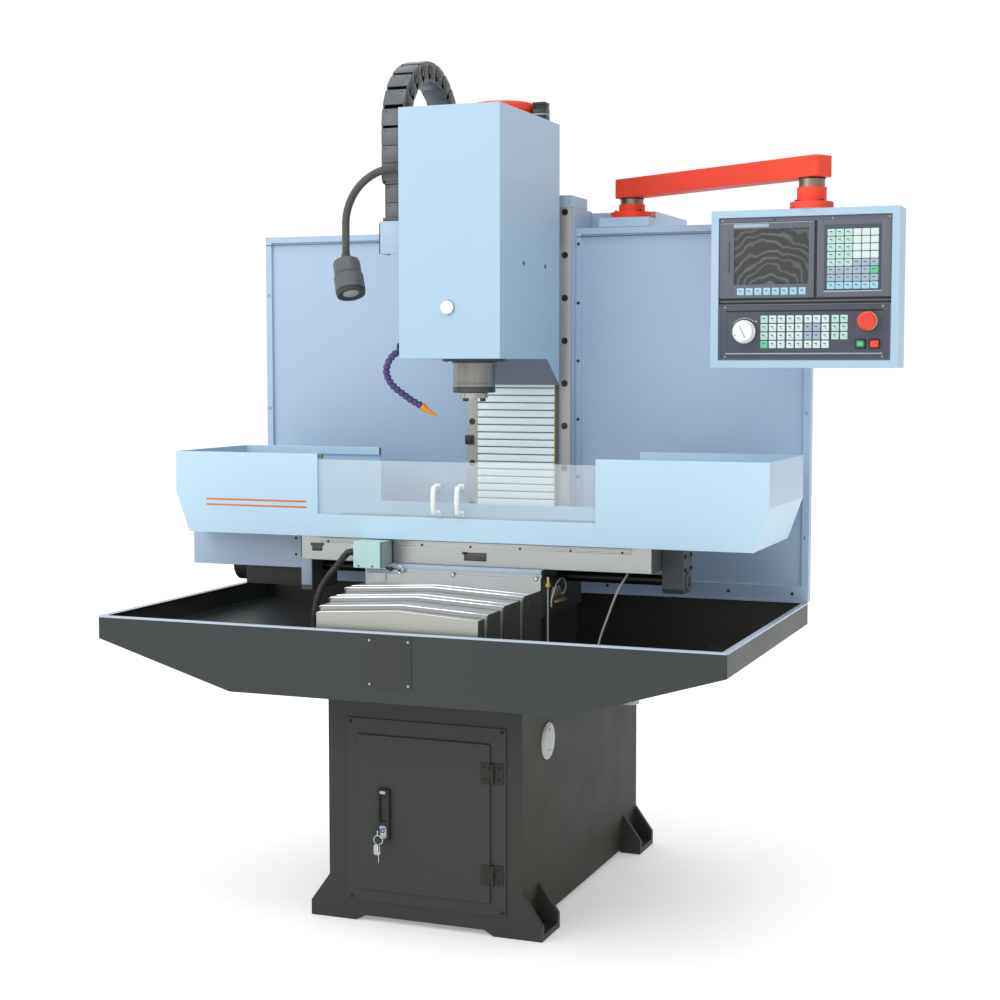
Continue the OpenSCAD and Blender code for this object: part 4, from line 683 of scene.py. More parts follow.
def baseTrim():
    b, f = base, doorFrame
    hinges = [f.z0 + z + s * b["hingeHalf"] for z in b["hinges"] for s in (-1, 1)]
    corners = spots((f.x0 + b["inset"], f.x1 - b["inset"]), f.y1 - 3, (f.z0 + b["inset"], f.z1 - b["inset"]))
    leaf = spots(f.x1 - b["leafX"], f.y1 - 5, hinges)
    piece("frameScrews", "frame", "plateDark",
          [screws(corners, *b["frameScrew"]), screws(leaf, *b["hingeScrew"])])
    piece("hingeScrews", "base_door", "black",
          [screws(spots(b["hingeX"], f.y1 - 9.3, hinges), *b["hingeScrew"])])
    # rolled gasket lip round the door's edge
    low, high = b["gasket"]
    near, far = b["lip"]
    x0, x1, z0, z1, y = f.x0 + low, f.x1 - high, f.z0 + low, f.z1 - high, f.y1 - 3.15
    bars = [block(x0 - far, x0 - near, y, y + 1, z0 - far, z1 + far, 0.3),
            block(x0 - far, x1 + far, y, y + 1, z1 + near, z1 + far, 0.3),
            block(x0 - far, x1 + far, y, y + 1, z0 - far, z0 - near, 0.3)]
    piece("doorGasket", "frame", "rubber", bars)


lock = {"x": -96, "z": 226, "radius": 9.4, "ring": 11, "wire": 0.9, "ringY": 25, "handle": (86.5, 93.5),
        "cam": (-8, 34), "blade": (42, 15), "spareKey": (16, 2), "tagDrop": 12}


def lockAndKey():
    x, z, r, ring, (foot, lid) = lock["x"], lock["z"], lock["radius"], lock["ring"], lock["cam"]
    doorY, back = span("base_door").y0, doorFrame.y1 + 1.7
    face = doorY - 1.4
    piece("lockPlate", "base_door", "zinc",
          [loft(rounded(18, 31, 5, 4), soft(1.4, 0.5), (x, doorY, z - 4.5), "front"),
           block(x - 7, x + 7, doorY - 2.6, doorY, z + lock["handle"][0], z + lock["handle"][1])])
    low = z - 5 - 2 * ring  # where the keys hang from the ring
    (blade, shoulder), (under, over) = lock["blade"], lock["spareKey"]
    outline = [(r, -19), (r - 1.5, 0), (r - 1.5, 1.4), (r - 2, 2), (r - 2.6, 1.6)]
    parts = [turned(outline, (x, face, z), "front"),
             turned([(6.4, 0.8), (6.2, 2.1), (2.8, 2.3), (2.6, 1.5)], (x, face, z), "front", 24, 1),
             block(x - 8, x + 8, back, back + 2, z + foot, z + lid, 0.5),
             block(x - 0.9, x + 0.9, face - 11, face, z - 3.6, z + 3.6, 0.4),
             loft(rounded(21, 19, 8, 5), soft(2, 0.4, 0.4), (x - 1, face - 19, z), "right"),
             tube(arc((x, face - lock["ringY"], z - 5 - ring), (0, 0, ring), (ring, 0, 0),
                      np.linspace(0, 2 * np.pi, 41)), lock["wire"], (0, 1, 0), 8, 2),
             block(x + 1, x + 3, face - 33, face - 18, low - under, low + over, 0.6, 2),
             block(x + 1.3, x + 2.7, face - 28, face - 22, low - blade, low - shoulder, 0.5, 2),
             loft(rounded(17, 26, 6, 5), soft(1.6, 0.4, 0.4), (x - 3, face - 25, low - lock["tagDrop"]),
                  "front", 3)]
    piece("doorLock", "door_lock", "chrome lockBlue chrome zinc", parts, ["door_lock"])


# side cap, blank plate, the tray's edge lightened as a painted highlight, and its drain
sideSet = {"slitLow": 22, "dotRise": 27, "plateInset": 8, "rivet": 3.2, "edgeDepth": 3.6, "drain": (322, 120)}


def rivets(places, r, facing="front", tone=0):  # low domes
    profile = [(r, 0), (r * 0.93, r * 0.25), (r * 0.7, r * 0.45), (r * 0.35, r * 0.58)]
    return repeat(turned(profile, (0, 0, 0), facing, 14, tone), places)


def sideTrim():
    cap, plate, inset, t = span("side_cap"), span("blank_plate"), sideSet["plateInset"], tray
    y, z = (cap.y0 + cap.y1) / 2, (cap.z0 + cap.z1) / 2
    rim = [(44, 0), (44, 1.4), (42.6, 3), (39, 3.1), (38, 3.4), (37.4, 4.6), (36, 5), (3, 4.9)]
    slit = z - sideSet["slitLow"]
    piece("sideCap", "frame", "capGrey blackPlastic",
          [turned(rim, (cap.x0, y, z), "right", 56),
           turned([(4.6, 0), (4.4, 0.25), (2, 0.2)], (cap.x1 - 0.1, y, z + sideSet["dotRise"]),
                  "right", 16, 1),
           block(cap.x1 - 0.1, cap.x1 + 0.1, y - 9, y + 9, slit, slit + 2, 0.1, 1)],
          ["side_cap"])
    sheet = loft(rounded(plate.x1 - plate.x0, plate.z1 - plate.z0, 2, 4), soft(1.4, 0.5),
                 ((plate.x0 + plate.x1) / 2, plate.y1, (plate.z0 + plate.z1) / 2), "front")
    holes = spots((plate.x0 + inset, plate.x1 - inset), plate.y1 - 1.2, (plate.z0 + inset, plate.z1 - inset))
    piece("trayPlate", "frame", "doorDark zinc", [sheet, rivets(holes, sideSet["rivet"], "front", 1)],
          ["blank_plate"])
    low, high = t.z1 - sideSet["edgeDepth"], t.z1 + 0.6
    piece("trayEdgeHighlight", "frame", "rim",
          [block(t.x0 + 0.5, t.x1 - 0.5, t.y0 - 0.5, t.y0 + 1.6, low, high, 0.5)]
          + [block(x - 0.6, x + 0.6, t.y0 + 1, t.y1 - 1, low, high, 0.4) for x in (t.x0 + 0.2, t.x1 - 0.2)])
    spout = (*sideSet["drain"], t.z0)
    sleeve = [(20.6, 90), (20.6, 0.6), (21.2, -0.3), (25.4, -0.3), (26.4, 0.8), (26.4, 13), (25.6, 14),
              (25.6, 106)]
    collar = [(26.6, 92), (27.2, 93), (27.2, 97), (26.6, 98)]
    piece("drainSleeve", "frame", "capGrey zinc",
          [turned(sleeve, spout, "up", 36), turned(collar, spout, "up", 36, 1)])


baseTrim()
lockAndKey()
sideTrim()
print("base trimmed")


# table guard: stripes, painted shade in the rail ends' folds, windows with their oval grips
guard = {"stripeX": (-668, -386), "stripeZ": (957.5, 971.5), "stripeHeight": 4.6, "opening": (-355, 360),
         "gripX": (-37, 24), "gripZ": (23, 87), "gripWire": 4.6, "gripOval": 1.35,
         "gripOut": (18, 25, 28.5, 29.5), "paneY": (-271, -267)}


def guardTrim():
    x0, x1 = guard["stripeX"]
    front, back, top, gap = guardBox.y0, guardBox.y1, guardBox.z1, guard["opening"]
    stripe = block(x0, x1, front - 0.5, front + 0.6, 0, guard["stripeHeight"], 0.25)
    piece("guardStripes", "table", "orange", [repeat(stripe, spots(0, 0, guard["stripeZ"]))])
    # dark insets at the folded rail ends: painted shade in the folds
    ends = [block(x - 0.5, x + 0.5, back - 12.4, back - 1.4, top - 18, top - 2, 0.3) for x in gap]
    clip = block(gap[0] - 3, gap[0] + 9, front + 4.5, front + 16, top - 12, top - 0.5, 1)
    piece("railEnds", "table", "gap", ends + [clip])


def window(node, gripX):
    pane, (y0, y1) = span(node), guard["paneY"]
    low, high = (pane.z0 + z for z in guard["gripZ"])
    out = [y0 + 1] + [y0 - o for o in guard["gripOut"]]
    z = [low, low, low + 3, *np.linspace(low, high, 5)[1:4], high - 3, high, high]
    line = smooth(np.stack([np.full(9, float(gripX)), out + out[-2::-1], z], 1), 44)
    points, quads, tone = tube(line, guard["gripWire"], (1, 0, 0), 14, 1)
    points[:, 0] = gripX + (points[:, 0] - gripX) * guard["gripOval"]
    feet = [block(gripX - 8, gripX + 8, y0 - 2.2, y0, h - 7, h + 7, 0.8, 1) for h in (low, high)]
    piece(node + "Clear", node, "pane white",
          [block(pane.x0, pane.x1, y0, y1, pane.z0, pane.z1, 0.5), (points, quads, tone)] + feet,
          [node])


guardTrim()
for node, gripX in zip(("window_left", "window_right"), guard["gripX"]):
    window(node, gripX)
print("guard finished")


# table front and saddle: dog rail with its travel dogs, screws, clamp, gland
rail = {"height": 13, "ends": (52, 47), "screws": 7, "screwIn": 22, "proud": 3,
        "dogs": ((24, 81, 2.2, 842, 862), (19, 33, 2.2, 857, 863), (-382, -355, 2.2, 851, 868),
                 (-386, -351, 2.4, 864, 871))}
ledges = {"saddleScrews": ((3.7, 809), (215, 808)), "clampRise": 26, "hook": 8, "hookX": 30, "seamDrop": 63.3,
          "screwDrop": 58.5, "screwX": (24, 60), "gland": (11, 26, 29), "axle": (-130, 800.7),
          "bearingY": (-156, -104), "bearingDrop": (26, 58), "coverDrop": (7, 48),
          "endPlate": (-441, -412, -201.5, -199, 757, 826)}


def frontTrim():
    t, s, b, f = span("table"), saddle, switchBox, ledges
    y, z1 = t.y0, span("dog_rail").z1
    z0, x0, x1 = z1 - rail["height"], t.x0 + rail["ends"][0], t.x1 - rail["ends"][1]
    proud, inset = y - rail["proud"], rail["screwIn"]
    heads = spots(np.linspace(x0 + inset, x1 - inset, rail["screws"]), y - 2.4, z0 + 2.5)
    piece("dogRail", "table", "plateSteel black dogSteel",
          [block(x0, x1, proud, y, z0, z0 + 4, 0.6), block(x0, x1, proud, y, z1 - 4, z1, 0.6),
           block(x0, x1, y - 1.6, y, z0 + 3, z1 - 3, 0.3), screws(heads, 3.0, 1.6, "front", 1)]
          + [block(low, high, y - out, y, foot, top, 0.6, 2) for low, high, out, foot, top in rail["dogs"]],
          ["dog_rail"])
    places = np.array([(x, s.y0 + 0.1, z) for x, z in f["saddleScrews"]])
    ledge = block(s.x0 + 62, s.x1 + 0.4, s.y0 - 0.9, s.y0 + 4, s.z1 - 9.5, s.z1 - 0.8, 0.5, 2)
    piece("saddleScrews", "saddle", "chrome rubber castBlue",
          [repeat(turned([(5.4, 0), (5.4, 0.5)], (0, 0, 0), "front", 18, 1), places),
           screws(places - (0, 0.4, 0), 4.4, 2.4), ledge])
    # clamp and its small plate beside the switch box
    foot, r = b.z0 + f["clampRise"], f["hook"]
    bend = np.radians(np.linspace(-150, 90, 15))
    hook = arc((b.x1 + f["hookX"], s.y0 - 4.0, foot + 2), (r, 0, 0), (0, 0, r), bend)
    piece("switchClamp", "saddle", "chrome castBlue black",
          [block(b.x0 + 22, b.x1 + 24, s.y0 - 5, s.y0 - 1, foot - 9, foot + 1, 0.8, 1),
           tube(hook, 2.4, (0, 1, 0), 8),
           turned([(5.5, 0), (5.5, 5), (4.5, 6)], (b.x1 + 7, s.y0 - 5, foot + 3), "front", 16, 2)])
    glandX, glandY, glandZ = f["gland"]
    piece("switchTrim", "saddle", "black blackPlastic",
          [screws(spots([b.x0 + x for x in f["screwX"]], b.y0 + 0.1, b.z1 - f["screwDrop"]), 2.4, 1.3),
           block(b.x0 + 9.6, b.x1 + 0.3, b.y0 + 9, b.y0 + 10, b.z1 - f["seamDrop"], b.z1 + 0.3, 0.2, 1),
           turned([(10, 0), (10, 4), (12.5, 4), (12.5, 10), (9.5, 12)],
                  (b.x0 + glandX, b.y0 + glandY, b.z1 - glandZ), "left", 6, 1)])
    end, cover = span("x_bearing_housing"), span("x_motor_cover")
    bolts = spots(end.x1 - 0.2, f["bearingY"], [end.z1 - z for z in f["bearingDrop"]])
    small = spots(cover.x1 - 15, cover.y0 + 0.1, [cover.z1 - z for z in f["coverDrop"]])
    piece("housingTrim", "table", "bedGrey black castBlue",
          [turned([(24, 0), (24, 5), (22, 7), (12, 7), (11, 3)], (end.x1 - 3, *f["axle"]), "right", 36),
           screws(bolts, 5, 4, "right", 1), screws(small, 3.4, 1.8, "front", 1),
           block(*f["endPlate"], 0.8, 2)])


# bright folded lips along the front of each telescopic cover: beads carried along its roof ridge
lips = {"wire": 2.1, "slimWire": 1.8, "second": 34, "secondWire": 1.6, "eave": 12, "upright": 5}


def ridge(box, y, inset, lift):
    half, eave, top = (box.x1 - box.x0) / 2, box.z1 - lips["eave"] + lift, box.z1 - 1.2 + lift
    side, foot = half - inset, box.z0 + 4 + lift
    path = np.array([(-side, y, foot), (-side, y, eave - 3), (4 - half, y, eave - 0.6), (0, y, top),
                     (half - 4, y, eave - 0.6), (side, y, eave - 3), (side, y, foot)])
    return np.concatenate([np.linspace(path[i], path[i + 1], 5)[:-1] for i in range(6)] + [path[-1:]])


def telescopeTrim():
    for k, body in enumerate(("frame", "cover_2", "cover_3", "saddle")):
        box = span("cover_section_%d" % (k + 1))
        y = box.y0 + (3 if k == 0 else 0)
        beads = [tube(ridge(box, y, 1.2, 0), lips["slimWire"] if k == 1 else lips["wire"], (0, 1, 0), 8)]
        if k > 1:
            beads.append(tube(ridge(box, y + lips["second"], 0.6, 1.2), lips["secondWire"], (0, 1, 0), 8))
        row = np.repeat(np.arange(26), 8)
        dull = ((row < lips["upright"]) | (row > 25 - lips["upright"])) * 1
        piece("coverLip%d" % (k + 1), body, "chrome dogSteel", [(*bead[:2], dull) for bead in beads])


frontTrim()
telescopeTrim()
print("table and covers finished")


# oil distributor with its brass fittings and thin tubes, measured from its plate's left face
oil = {"rowY": -230, "step": 19, "rowZ": 750.3, "topZ": 762.3, "riserY": -256, "tube": 2.0, "arcTube": 1.5,
       "riser": 2.3, "plate": (-262, -160, 718.3, 802.5), "body": (-240, -164, 738.3, 762.3),
       "arcs": (-211, 9.5, 17, 766),
       "screws": ((-254, 726), (-168, 726), (-168, 794)),
       "loop": ((19, -257, 741), (19, -257, 756), (20, -247, 772), (21, -232, 789), (21, -206, 801),
                (21, -176, 799), (21, -160, 786), (20, -163, 770), (16, -172, 761))}


def oiling():
    x, step, z, y = span("oil_distributor").x0, oil["step"], oil["rowZ"], oil["riserY"]
    parts = [block(x, x + 3.6, *oil["plate"], 0.6), block(x + 3.4, x + 18, *oil["body"], 1.2),
             screws([(x + 3.5, *place) for place in oil["screws"]], 3.4, 2, "right", 3)]
    ports = [(0, step * i, 0) for i in range(4)]
    parts += [repeat(hexNut(10, 5, (x + 18, oil["rowY"], z), "right", 1), ports),
              repeat(turned([(3.6, 5), (3.6, 10), (2.4, 11)], (x + 18, oil["rowY"], z), "right", 12, 1),
                     ports),
              repeat(hexNut(8, 4, (x + 11, oil["rowY"], oil["topZ"]), "up", 1), ports),
              tube(smooth(np.array(oil["loop"]) + (x, 0, 0), 60), oil["tube"], (1, 0, 0), 8, 2)]
    arcY, across, rise, foot = oil["arcs"]
    for i in range(3):
        middle = (x + 11, arcY + step * i - across, foot)
        path = arc(middle, (0, across, 0), (0, 0, rise), np.linspace(0, np.pi, 16))
        parts.append(tube(path, oil["arcTube"], (1, 0, 0), 8, 2))
    riser = smooth([(x + 10, y, h) for h in (624, 690, 760, 789)], 16)
    parts += [tube(riser, oil["riser"], (0, 1, 0), 8, 2), hexNut(11, 8, (x + 10, y, 788), "up", 1),
              turned([(4.4, 0), (4.4, 15), (3, 17)], (x + 10, y, 795), "up", 12, 1),
              block(x + 3.4, x + 10, y - 4, y + 4, 789, 801)]
    piece("oilDistributor", "saddle", "castDark brass hoseClear black", parts,
          ["oil_distributor"])


oiling()
print("oil system finished")


# head: cover plug, fan cowl, cable connector, finned motor, spindle nose
head = {"plugX": -3, "plugZ": 186, "holeZ": 295, "holeY": (-130, 21)}
cowl = {"radius": 82.5, "slots": 28, "y": 68, "slotIn": 32.5, "screwY": 24, "connector": (104, 58),
        "ribs": 3, "ribStep": 4.4, "motor": 70, "fins": 36, "finDepth": 1.5}
quill = {"radius": 51, "flange": 79, "y": -130, "top": 66, "bolts": 6, "boltIn": 11}


def headTrim():
    place = (head["plugX"], headBox.y0 + 4, headBox.z0 + head["plugZ"])
    parts = [turned([(17.2, 0), (17.2, 0.6), (16.4, 0.9)], place, "front", 32, 1),
             turned([(16.2, 0.4), (16.4, 5), (15.2, 6.8), (11, 7.3), (4, 7.3)], place, "front", 32)]
    for profile in ([(4.2, -3), (5.6, -3), (5.6, 0.2), (4.2, 0.3)], [(4.1, -2.6), (4.1, -1.4)]):
        parts.append(repeat(turned(profile, (0, 0, 0), "right", 18, 1),
                            spots(headBox.x1, head["holeY"], headBox.z0 + head["holeZ"])))
    piece("headPlug", "head", "white rubber", parts)


def motorTrim():
    top, r, y = headBox.z1, cowl["radius"], cowl["y"]
    shell = turned([(r - 2, 18), (r, 20), (r, 24), (r - 1.6, 24.5), (r - 1.6, 27.5), (r, 28), (r, 40),
                    (r - 2.5, 45.5), (r - 8, 48), (r - 20, 48), (r - 21, 46.6), (r - 44, 46.6), (r - 45, 48),
                    (16, 48), (14, 47)], (0, y, top), "up", 72)
    slot = block(-8.5, 8.5, -1.7, 1.7, 46.3, 47.2, 0.3, 1)
    slot = (slot[0] + (r - cowl["slotIn"], y, top), *slot[1:])
    slots = [turn(slot, 360 * k / cowl["slots"], (0, y, top), "z") for k in range(cowl["slots"])]
    places = spots(0, (y + cowl["screwY"], y - cowl["screwY"]), top + 47.6)
    piece("motorCowl", "head", "red enamel black", [shell, *slots, screws(places, 3.5, 2, "up", 2)])
    # cable connector with a ribbed lid beside the motor
    x, y = cowl["connector"]

    def slab(half, low, high, edge, tone=0):
        return block(x - half, x + half, y - half, y + half, top + low, top + high, edge, tone)
    piece("motorConnector", "head", "blackPlastic zinc",
          [slab(17.5, 0, 30, 2),
           repeat(slab(17, 30.2, 33.6, 1.2), [(0, 0, cowl["ribStep"] * k) for k in range(cowl["ribs"])]),
           slab(14, 28, 44, 1), slab(17.4, 41.2, 45.8, 1.8), slab(17.8, 14, 17, 0.6, 1)])


def motorSkin():  # r = radius + depth (cos(fins a) - 1) up the finned body
    foot, high, r, y = span("spindle_motor").z0, headBox.z1 + 18, cowl["motor"], cowl["y"]
    body = turned([(r, 14), (r, 20), (r, high - foot - 2), (r - 2, high - foot)], (0, y, foot), "up", 288, 0,
                  lambda a, h: cowl["finDepth"] * (np.cos(cowl["fins"] * a) - 1))
    piece("spindleMotor", "head", "enamel", [body, block(-70, 70, y - 70, y + 50, foot, foot + 14, 2)],
          ["spindle_motor"])


def spindleNose():
    low, r, f, y = span("spindle_housing").z0, quill["radius"], quill["flange"], quill["y"]
    h, place = headBox.z0 + quill["top"] - low, (0, quill["y"], low)
    sleeve = turned([(26, 190), (26, 1.5), (27.5, 0), (r - 1, 0), (r + 1, 1.6), (r + 1, 12.6), (r, 14),
                     (r, 22), (r - 0.6, 22.6), (r - 0.6, 25.4), (r, 26), (r, 190)], place, "up", 64)
    sleeve[2][64 * 4:64 * 7] = 1  # the dark ring at the nose
    flange = [(r + 0.4, h - 6), (f - 2, h - 6), (f, h - 4.4), (f, h - 0.1), (r + 0.4, h - 0.1)]
    collar = [(r + 0.1, h - 10), (r + 3, h - 10), (r + 4, h - 9), (r + 4, h - 5.9)]
    out = f - quill["boltIn"]
    bolts = arc((0, y, low + h - 5.8), (out, 0, 0), (0, out, 0), circle(quill["bolts"], 30))
    piece("spindleHousing", "head", "quill flange rubber",
          [sleeve, turned(flange, place, "up", 72, 1), turned(collar, place, "up", 64, 1),
           screws(bolts, 4.5, 1.4, "down", 2)], ["spindle_housing"])


headTrim()
motorTrim()
motorSkin()
spindleNose()
print("head finished")


# folding cover between the ways: slats, a dark sheet behind them as painted shade in the gaps, thin bright
# edges
slats = {"count": 26, "gap": 3.1, "thick": 5.6, "strip": 12, "edges": ((0.1, 1.0, 0), (-1.9, 1.8, 1)),
         "rows": 60, "joinY": 160}


def wayCover():
    cover = span("way_cover")
    x0, x1, z0, z1, y = cover.x0, cover.x1, cover.z0, cover.z1, cover.y0 + 6.5
    pitch = (z1 - z0) / slats["count"]
    high = pitch - slats["gap"]
    slat = loft(rounded(x1 - x0 - 3, high, 1.4, 3), soft(slats["thick"], 1.8, 0, 4),
                ((x0 + x1) / 2, cover.y0 + 6, high / 2), "front")

    def curtain(left, right, near, far, tone):  # a closed sheet, carried up the cover
        ring = np.array([(left, near, 0), (right, near, 0), (right, far, 0), (left, far, 0)])
        rise = np.linspace(z0, z1, slats["rows"])[:, None, None] * np.array([0, 0, 1])
        return surface(ring + rise, tone)
    parts = [repeat(slat, spots(0, 0, z0 + pitch * np.arange(slats["count"]))),
             # the dark sheet behind the slats: painted shade in the gaps
             curtain(x0 + 1, x1 - 1, y, cover.y1, 2)]
    for shift, wide, right in slats["edges"]:
        x = (x1 if right else x0) + shift
        parts.append(curtain(x, x + wide, y - 5.4, y + 1, 1))
    piece("wayCover", None, "slat yellow gap", parts, ["way_cover"],
          blendWith=("frame", "head", (0, slats["joinY"], z0), (0, slats["joinY"], z1)))
    strip = block(x0, x1, cover.y0 - 0.6, cover.y0 + 4.4, z1 - slats["strip"], z1 - 1, 1.2)
    piece("wayCoverStrip", "head", "olive", [strip])


wayCover()


# drag chain: links with two side plates and cover plates, over three cables
chain = {"r": 156, "half": 25, "side": 4.2, "links": 11, "length": 43, "tail": 3, "step": 42, "reach": 181,
         "cableX": (17, 29, 41), "cable": 4.6, "cableDrop": 110, "legIn": 7.2, "legHalf": 18, "legSide": 3.4,
         "legPitch": 40, "shelf": 78}
legs = {"chain_front_leg": ("frontLeg", "head", -1, 222, -44),
        "chain_rear_leg": ("rearLeg", "frame", 1, 252, -90)}
chainBox = span("drag_chain")
bendY, bendZ = chainBox.y0 + chain["reach"], chainBox.z1 - chain["reach"]


def chainLink(length, x0, x1, half, side):
    # side plates are rounded ovals in the plane of the bend; s runs along the chain, h outwards
    plate = loft(rounded(length + 12, 2 * half - 1, half * 0.55, 5), soft(side, 0.9, 0.5, 2), (0, 0, 0))
    waist = loft(rounded(length - 15, 2 * half - 17, 6, 4), soft(0.9, 0.5, 0, 2), (0, 0, side), "up", 1)
    pin = turned([(7.5, 0), (7.5, 0.8), (6.2, 1.5), (2.5, 1.5), (2.2, 0.9)], (-length / 2 + 2, 0, side),
                 "up", 18, 1)
    parts = []
    for left in (True, False):
        for points, quads, tone in (plate, waist, pin):
            s, h, w = points.T
            out = x0 + side - w if left else x1 - side + w
            parts.append((np.stack([out, h, s], 1), quads[:, ::-1] if left else quads, tone))
    inner0, inner1 = x0 + side * 0.6, x1 - side * 0.6
    for h in (half - 3.4, -half + 0.2):  # cover plates, outside and inside the bend
        parts.append(block(inner0, inner1, h, h + 3.2, -length / 2 + 1, length / 2 - 1, 1.1, 2))
    for x in (inner0 + 9, inner1 - 9):  # small slots by the joint of each cover plate
        parts.append(block(x - 2.4, x + 2.4, half - 1, half, length / 2 - 9, length / 2 - 6.4, 0.3, 3))
    return joined(parts)


def along(link, frames):  # the link again for each middle, outward and forward direction in y and z
    points, quads, tone = link
    x, h, s = points.T
    return [(np.stack([x, *(middle[k] + h * outward[k] + s * forward[k] for k in (0, 1))], 1), quads, tone)
            for middle, outward, forward in frames]


def dragChain():
    c, r = chain, chain["r"]
    frames = []
    for i in range(c["links"]):
        a = math.pi - math.pi / c["links"] * (i + 0.5)
        frames.append(((bendY + r * math.cos(a), bendZ + r * math.sin(a)),
                       (math.cos(a), math.sin(a)), (math.sin(a), -math.cos(a))))
    for k in range(c["tail"]):
        z = bendZ - c["step"] * (k + 0.5)
        frames += [((bendY + s * r, z), (s, 0), (0, -s)) for s in (-1, 1)]
    x0, x1 = chainBox.x0 + 1.6, chainBox.x1 - 1.6
    parts = along(chainLink(c["length"], x0, x1, c["half"], c["side"]), frames)
    # the cables lie in the inner channel, carried round the bend
    low = [bendZ - c["cableDrop"], bendZ - 40]
    bend = arc((0, bendY, bendZ), (0, r, 0), (0, 0, r), np.linspace(math.pi, 0, 45))
    path = np.concatenate([[(0, bendY - r, z) for z in low], bend, [(0, bendY + r, z) for z in low[::-1]]])
    parts += [tube(path + (x0 + x, 0, 0), c["cable"], (1, 0, 0), 10, 3) for x in c["cableX"]]
    piece("dragChain", "chain", "chainBody chainDark chainEdge rubber", parts,
          ["drag_chain"])


def chainLeg(node, name, body, s, drop, top):
    c, half = chain, chain["legHalf"]
    x0, x1, y, foot = chainBox.x0 + c["legIn"], chainBox.x1 - c["legIn"], bendY + s * c["r"], bendZ - drop
    count = int((drop + top) // c["legPitch"])
    length = (drop + top) / count
    parts = along(chainLink(length + 1, x0, x1, half, c["legSide"]),
                  [((y, foot + length * (k + 0.5)), (s, 0), (0, -s)) for k in range(count)])
    roof = bendZ + top
    parts += [block(x0 + 2, x1 - 2, y - s * half, y - s * (half - 17), roof - 6, roof + 44, 1.5),
              block(x0 - 4, x1 + 4, y - half - 4, y + half + 4, foot, foot + 9, 1.2)]
    low, left, near, far = foot - c["shelf"], x0 - 11, y - 29, y + 30
    if body == "head":  # a folded shelf on the head's side
        wall = headBox.x0
        parts += [block(left, wall, near, far, foot - 6, foot, 1, 4),
                  block(left, wall, near, y - 25, low, foot - 5, 1, 4),
                  block(left, x0 - 7, near, far, low, foot - 5, 1, 4),
                  block(wall - 4, wall, near, far, low, foot - 5, 1, 4)]
    else:  # a shelf screwed to the column
        wall = span("column").x0
        parts += [block(left, wall, near, y + 99, foot - 5.2, foot, 1, 4),
                  block(wall - 5, wall, y + 78, y + 99, foot - 70, foot - 5, 1, 4),
                  screws(spots(wall - 5, y + 88, (foot - 22, foot - 54)), 4.5, 3, "left", 1)]
    piece(name, body, "chainBody chainDark chainEdge rubber panelBlue", parts, [node])


dragChain()
for node, leg in legs.items():
    chainLeg(node, *leg)
print("drag chain finished")


# work lamp on its ribbed arm: r(s) = r + ripple cos(2 pi s / rib)
lamp = {"y": -257, "below": 138, "run": 24, "bend": 130, "drop": 89, "rib": 4.6, "r": 9.3, "ripple": 0.6,
        "tilt": -17, "lean": -16, "fluteH": (-78, -44), "flutes": 30, "fluteDepth": 0.4}
lampRim = [(12, 0), (26, -1), (31, -3)]
lampShell = [(33, -9), (33, -36), (33, -38), (32, -38.5), (32, -41), (35, -41.5), (36, -43.5), (36, -44.5),
             (36, -46), (36, -46 - 31 / 3), (36, -77 + 31 / 3), (36, -77), (36, -79), (34.8, -80),
             (34.8, -90), (34, -91.6), (31.4, -92), (30.6, -91), (20, -87.5), (4, -87.4)]


def workLamp():
    x0, y, z0, b, run = headBox.x0, lamp["y"], headBox.z1 - lamp["below"], lamp["bend"], lamp["run"]
    a = np.linspace(0, math.pi / 2, 50)
    x = np.concatenate([[x0 - 6, x0 - 16], x0 - run - b * np.sin(a), [x0 - run - b] * 3])
    drops = np.array([lamp["drop"] / 3, lamp["drop"] * 0.66, lamp["drop"] + 2])
    z = np.concatenate([[z0, z0], z0 - b + b * np.cos(a), z0 - b - drops])
    path = smooth(np.stack([x, np.full(len(x), float(y)), z], 1), 430)
    wire = lamp["r"] + lamp["ripple"] * np.cos(2 * np.pi * lengths(path) / lamp["rib"])
    tip = (x0 - run - b, y, z0 - b - lamp["drop"] + 3)

    def flutes(angle, h):
        low, high = lamp["fluteH"]
        wave = lamp["fluteDepth"] * (np.cos(lamp["flutes"] * angle) - 1)
        return np.where((h < high) & (h > low), wave, 0.0)
    profile = (lampRim + lampShell)[::-1]
    points, quads, tone = turned(profile, tip, "up", 180, 1, flutes)
    tone[:7 * 180] = 3  # the dark lip round the lens
    bulb = [(points, quads, tone),
            turned([(19.6, 0), (19.4, 1.0), (15, 2.2), (8, 3.0)], (*tip[:2], tip[2] - 87.2), "down", 40, 2),
            turned([(34.9, -84), (36, -83.4), (36, -81.4), (34.9, -80.8)], tip, "up", 60, 3)]
    parts = [tube(path, wire, (0, 1, 0), 14),
             turned([(17, 0), (17, 4), (15.5, 6), (11.5, 7), (11, 12), (10, 14)], (x0, y, z0), "left", 32),
             turned([(13, -2), (13, 8), (11.5, 11), (10.4, 16)], tip)]
    parts += [turn(turn(p, lamp["lean"], tip, "x"), lamp["tilt"], tip, "y") for p in bulb]
    piece("workLamp", "head", "lampArm lampShell lens lampDark", parts, ["work_lamp"])


workLamp()


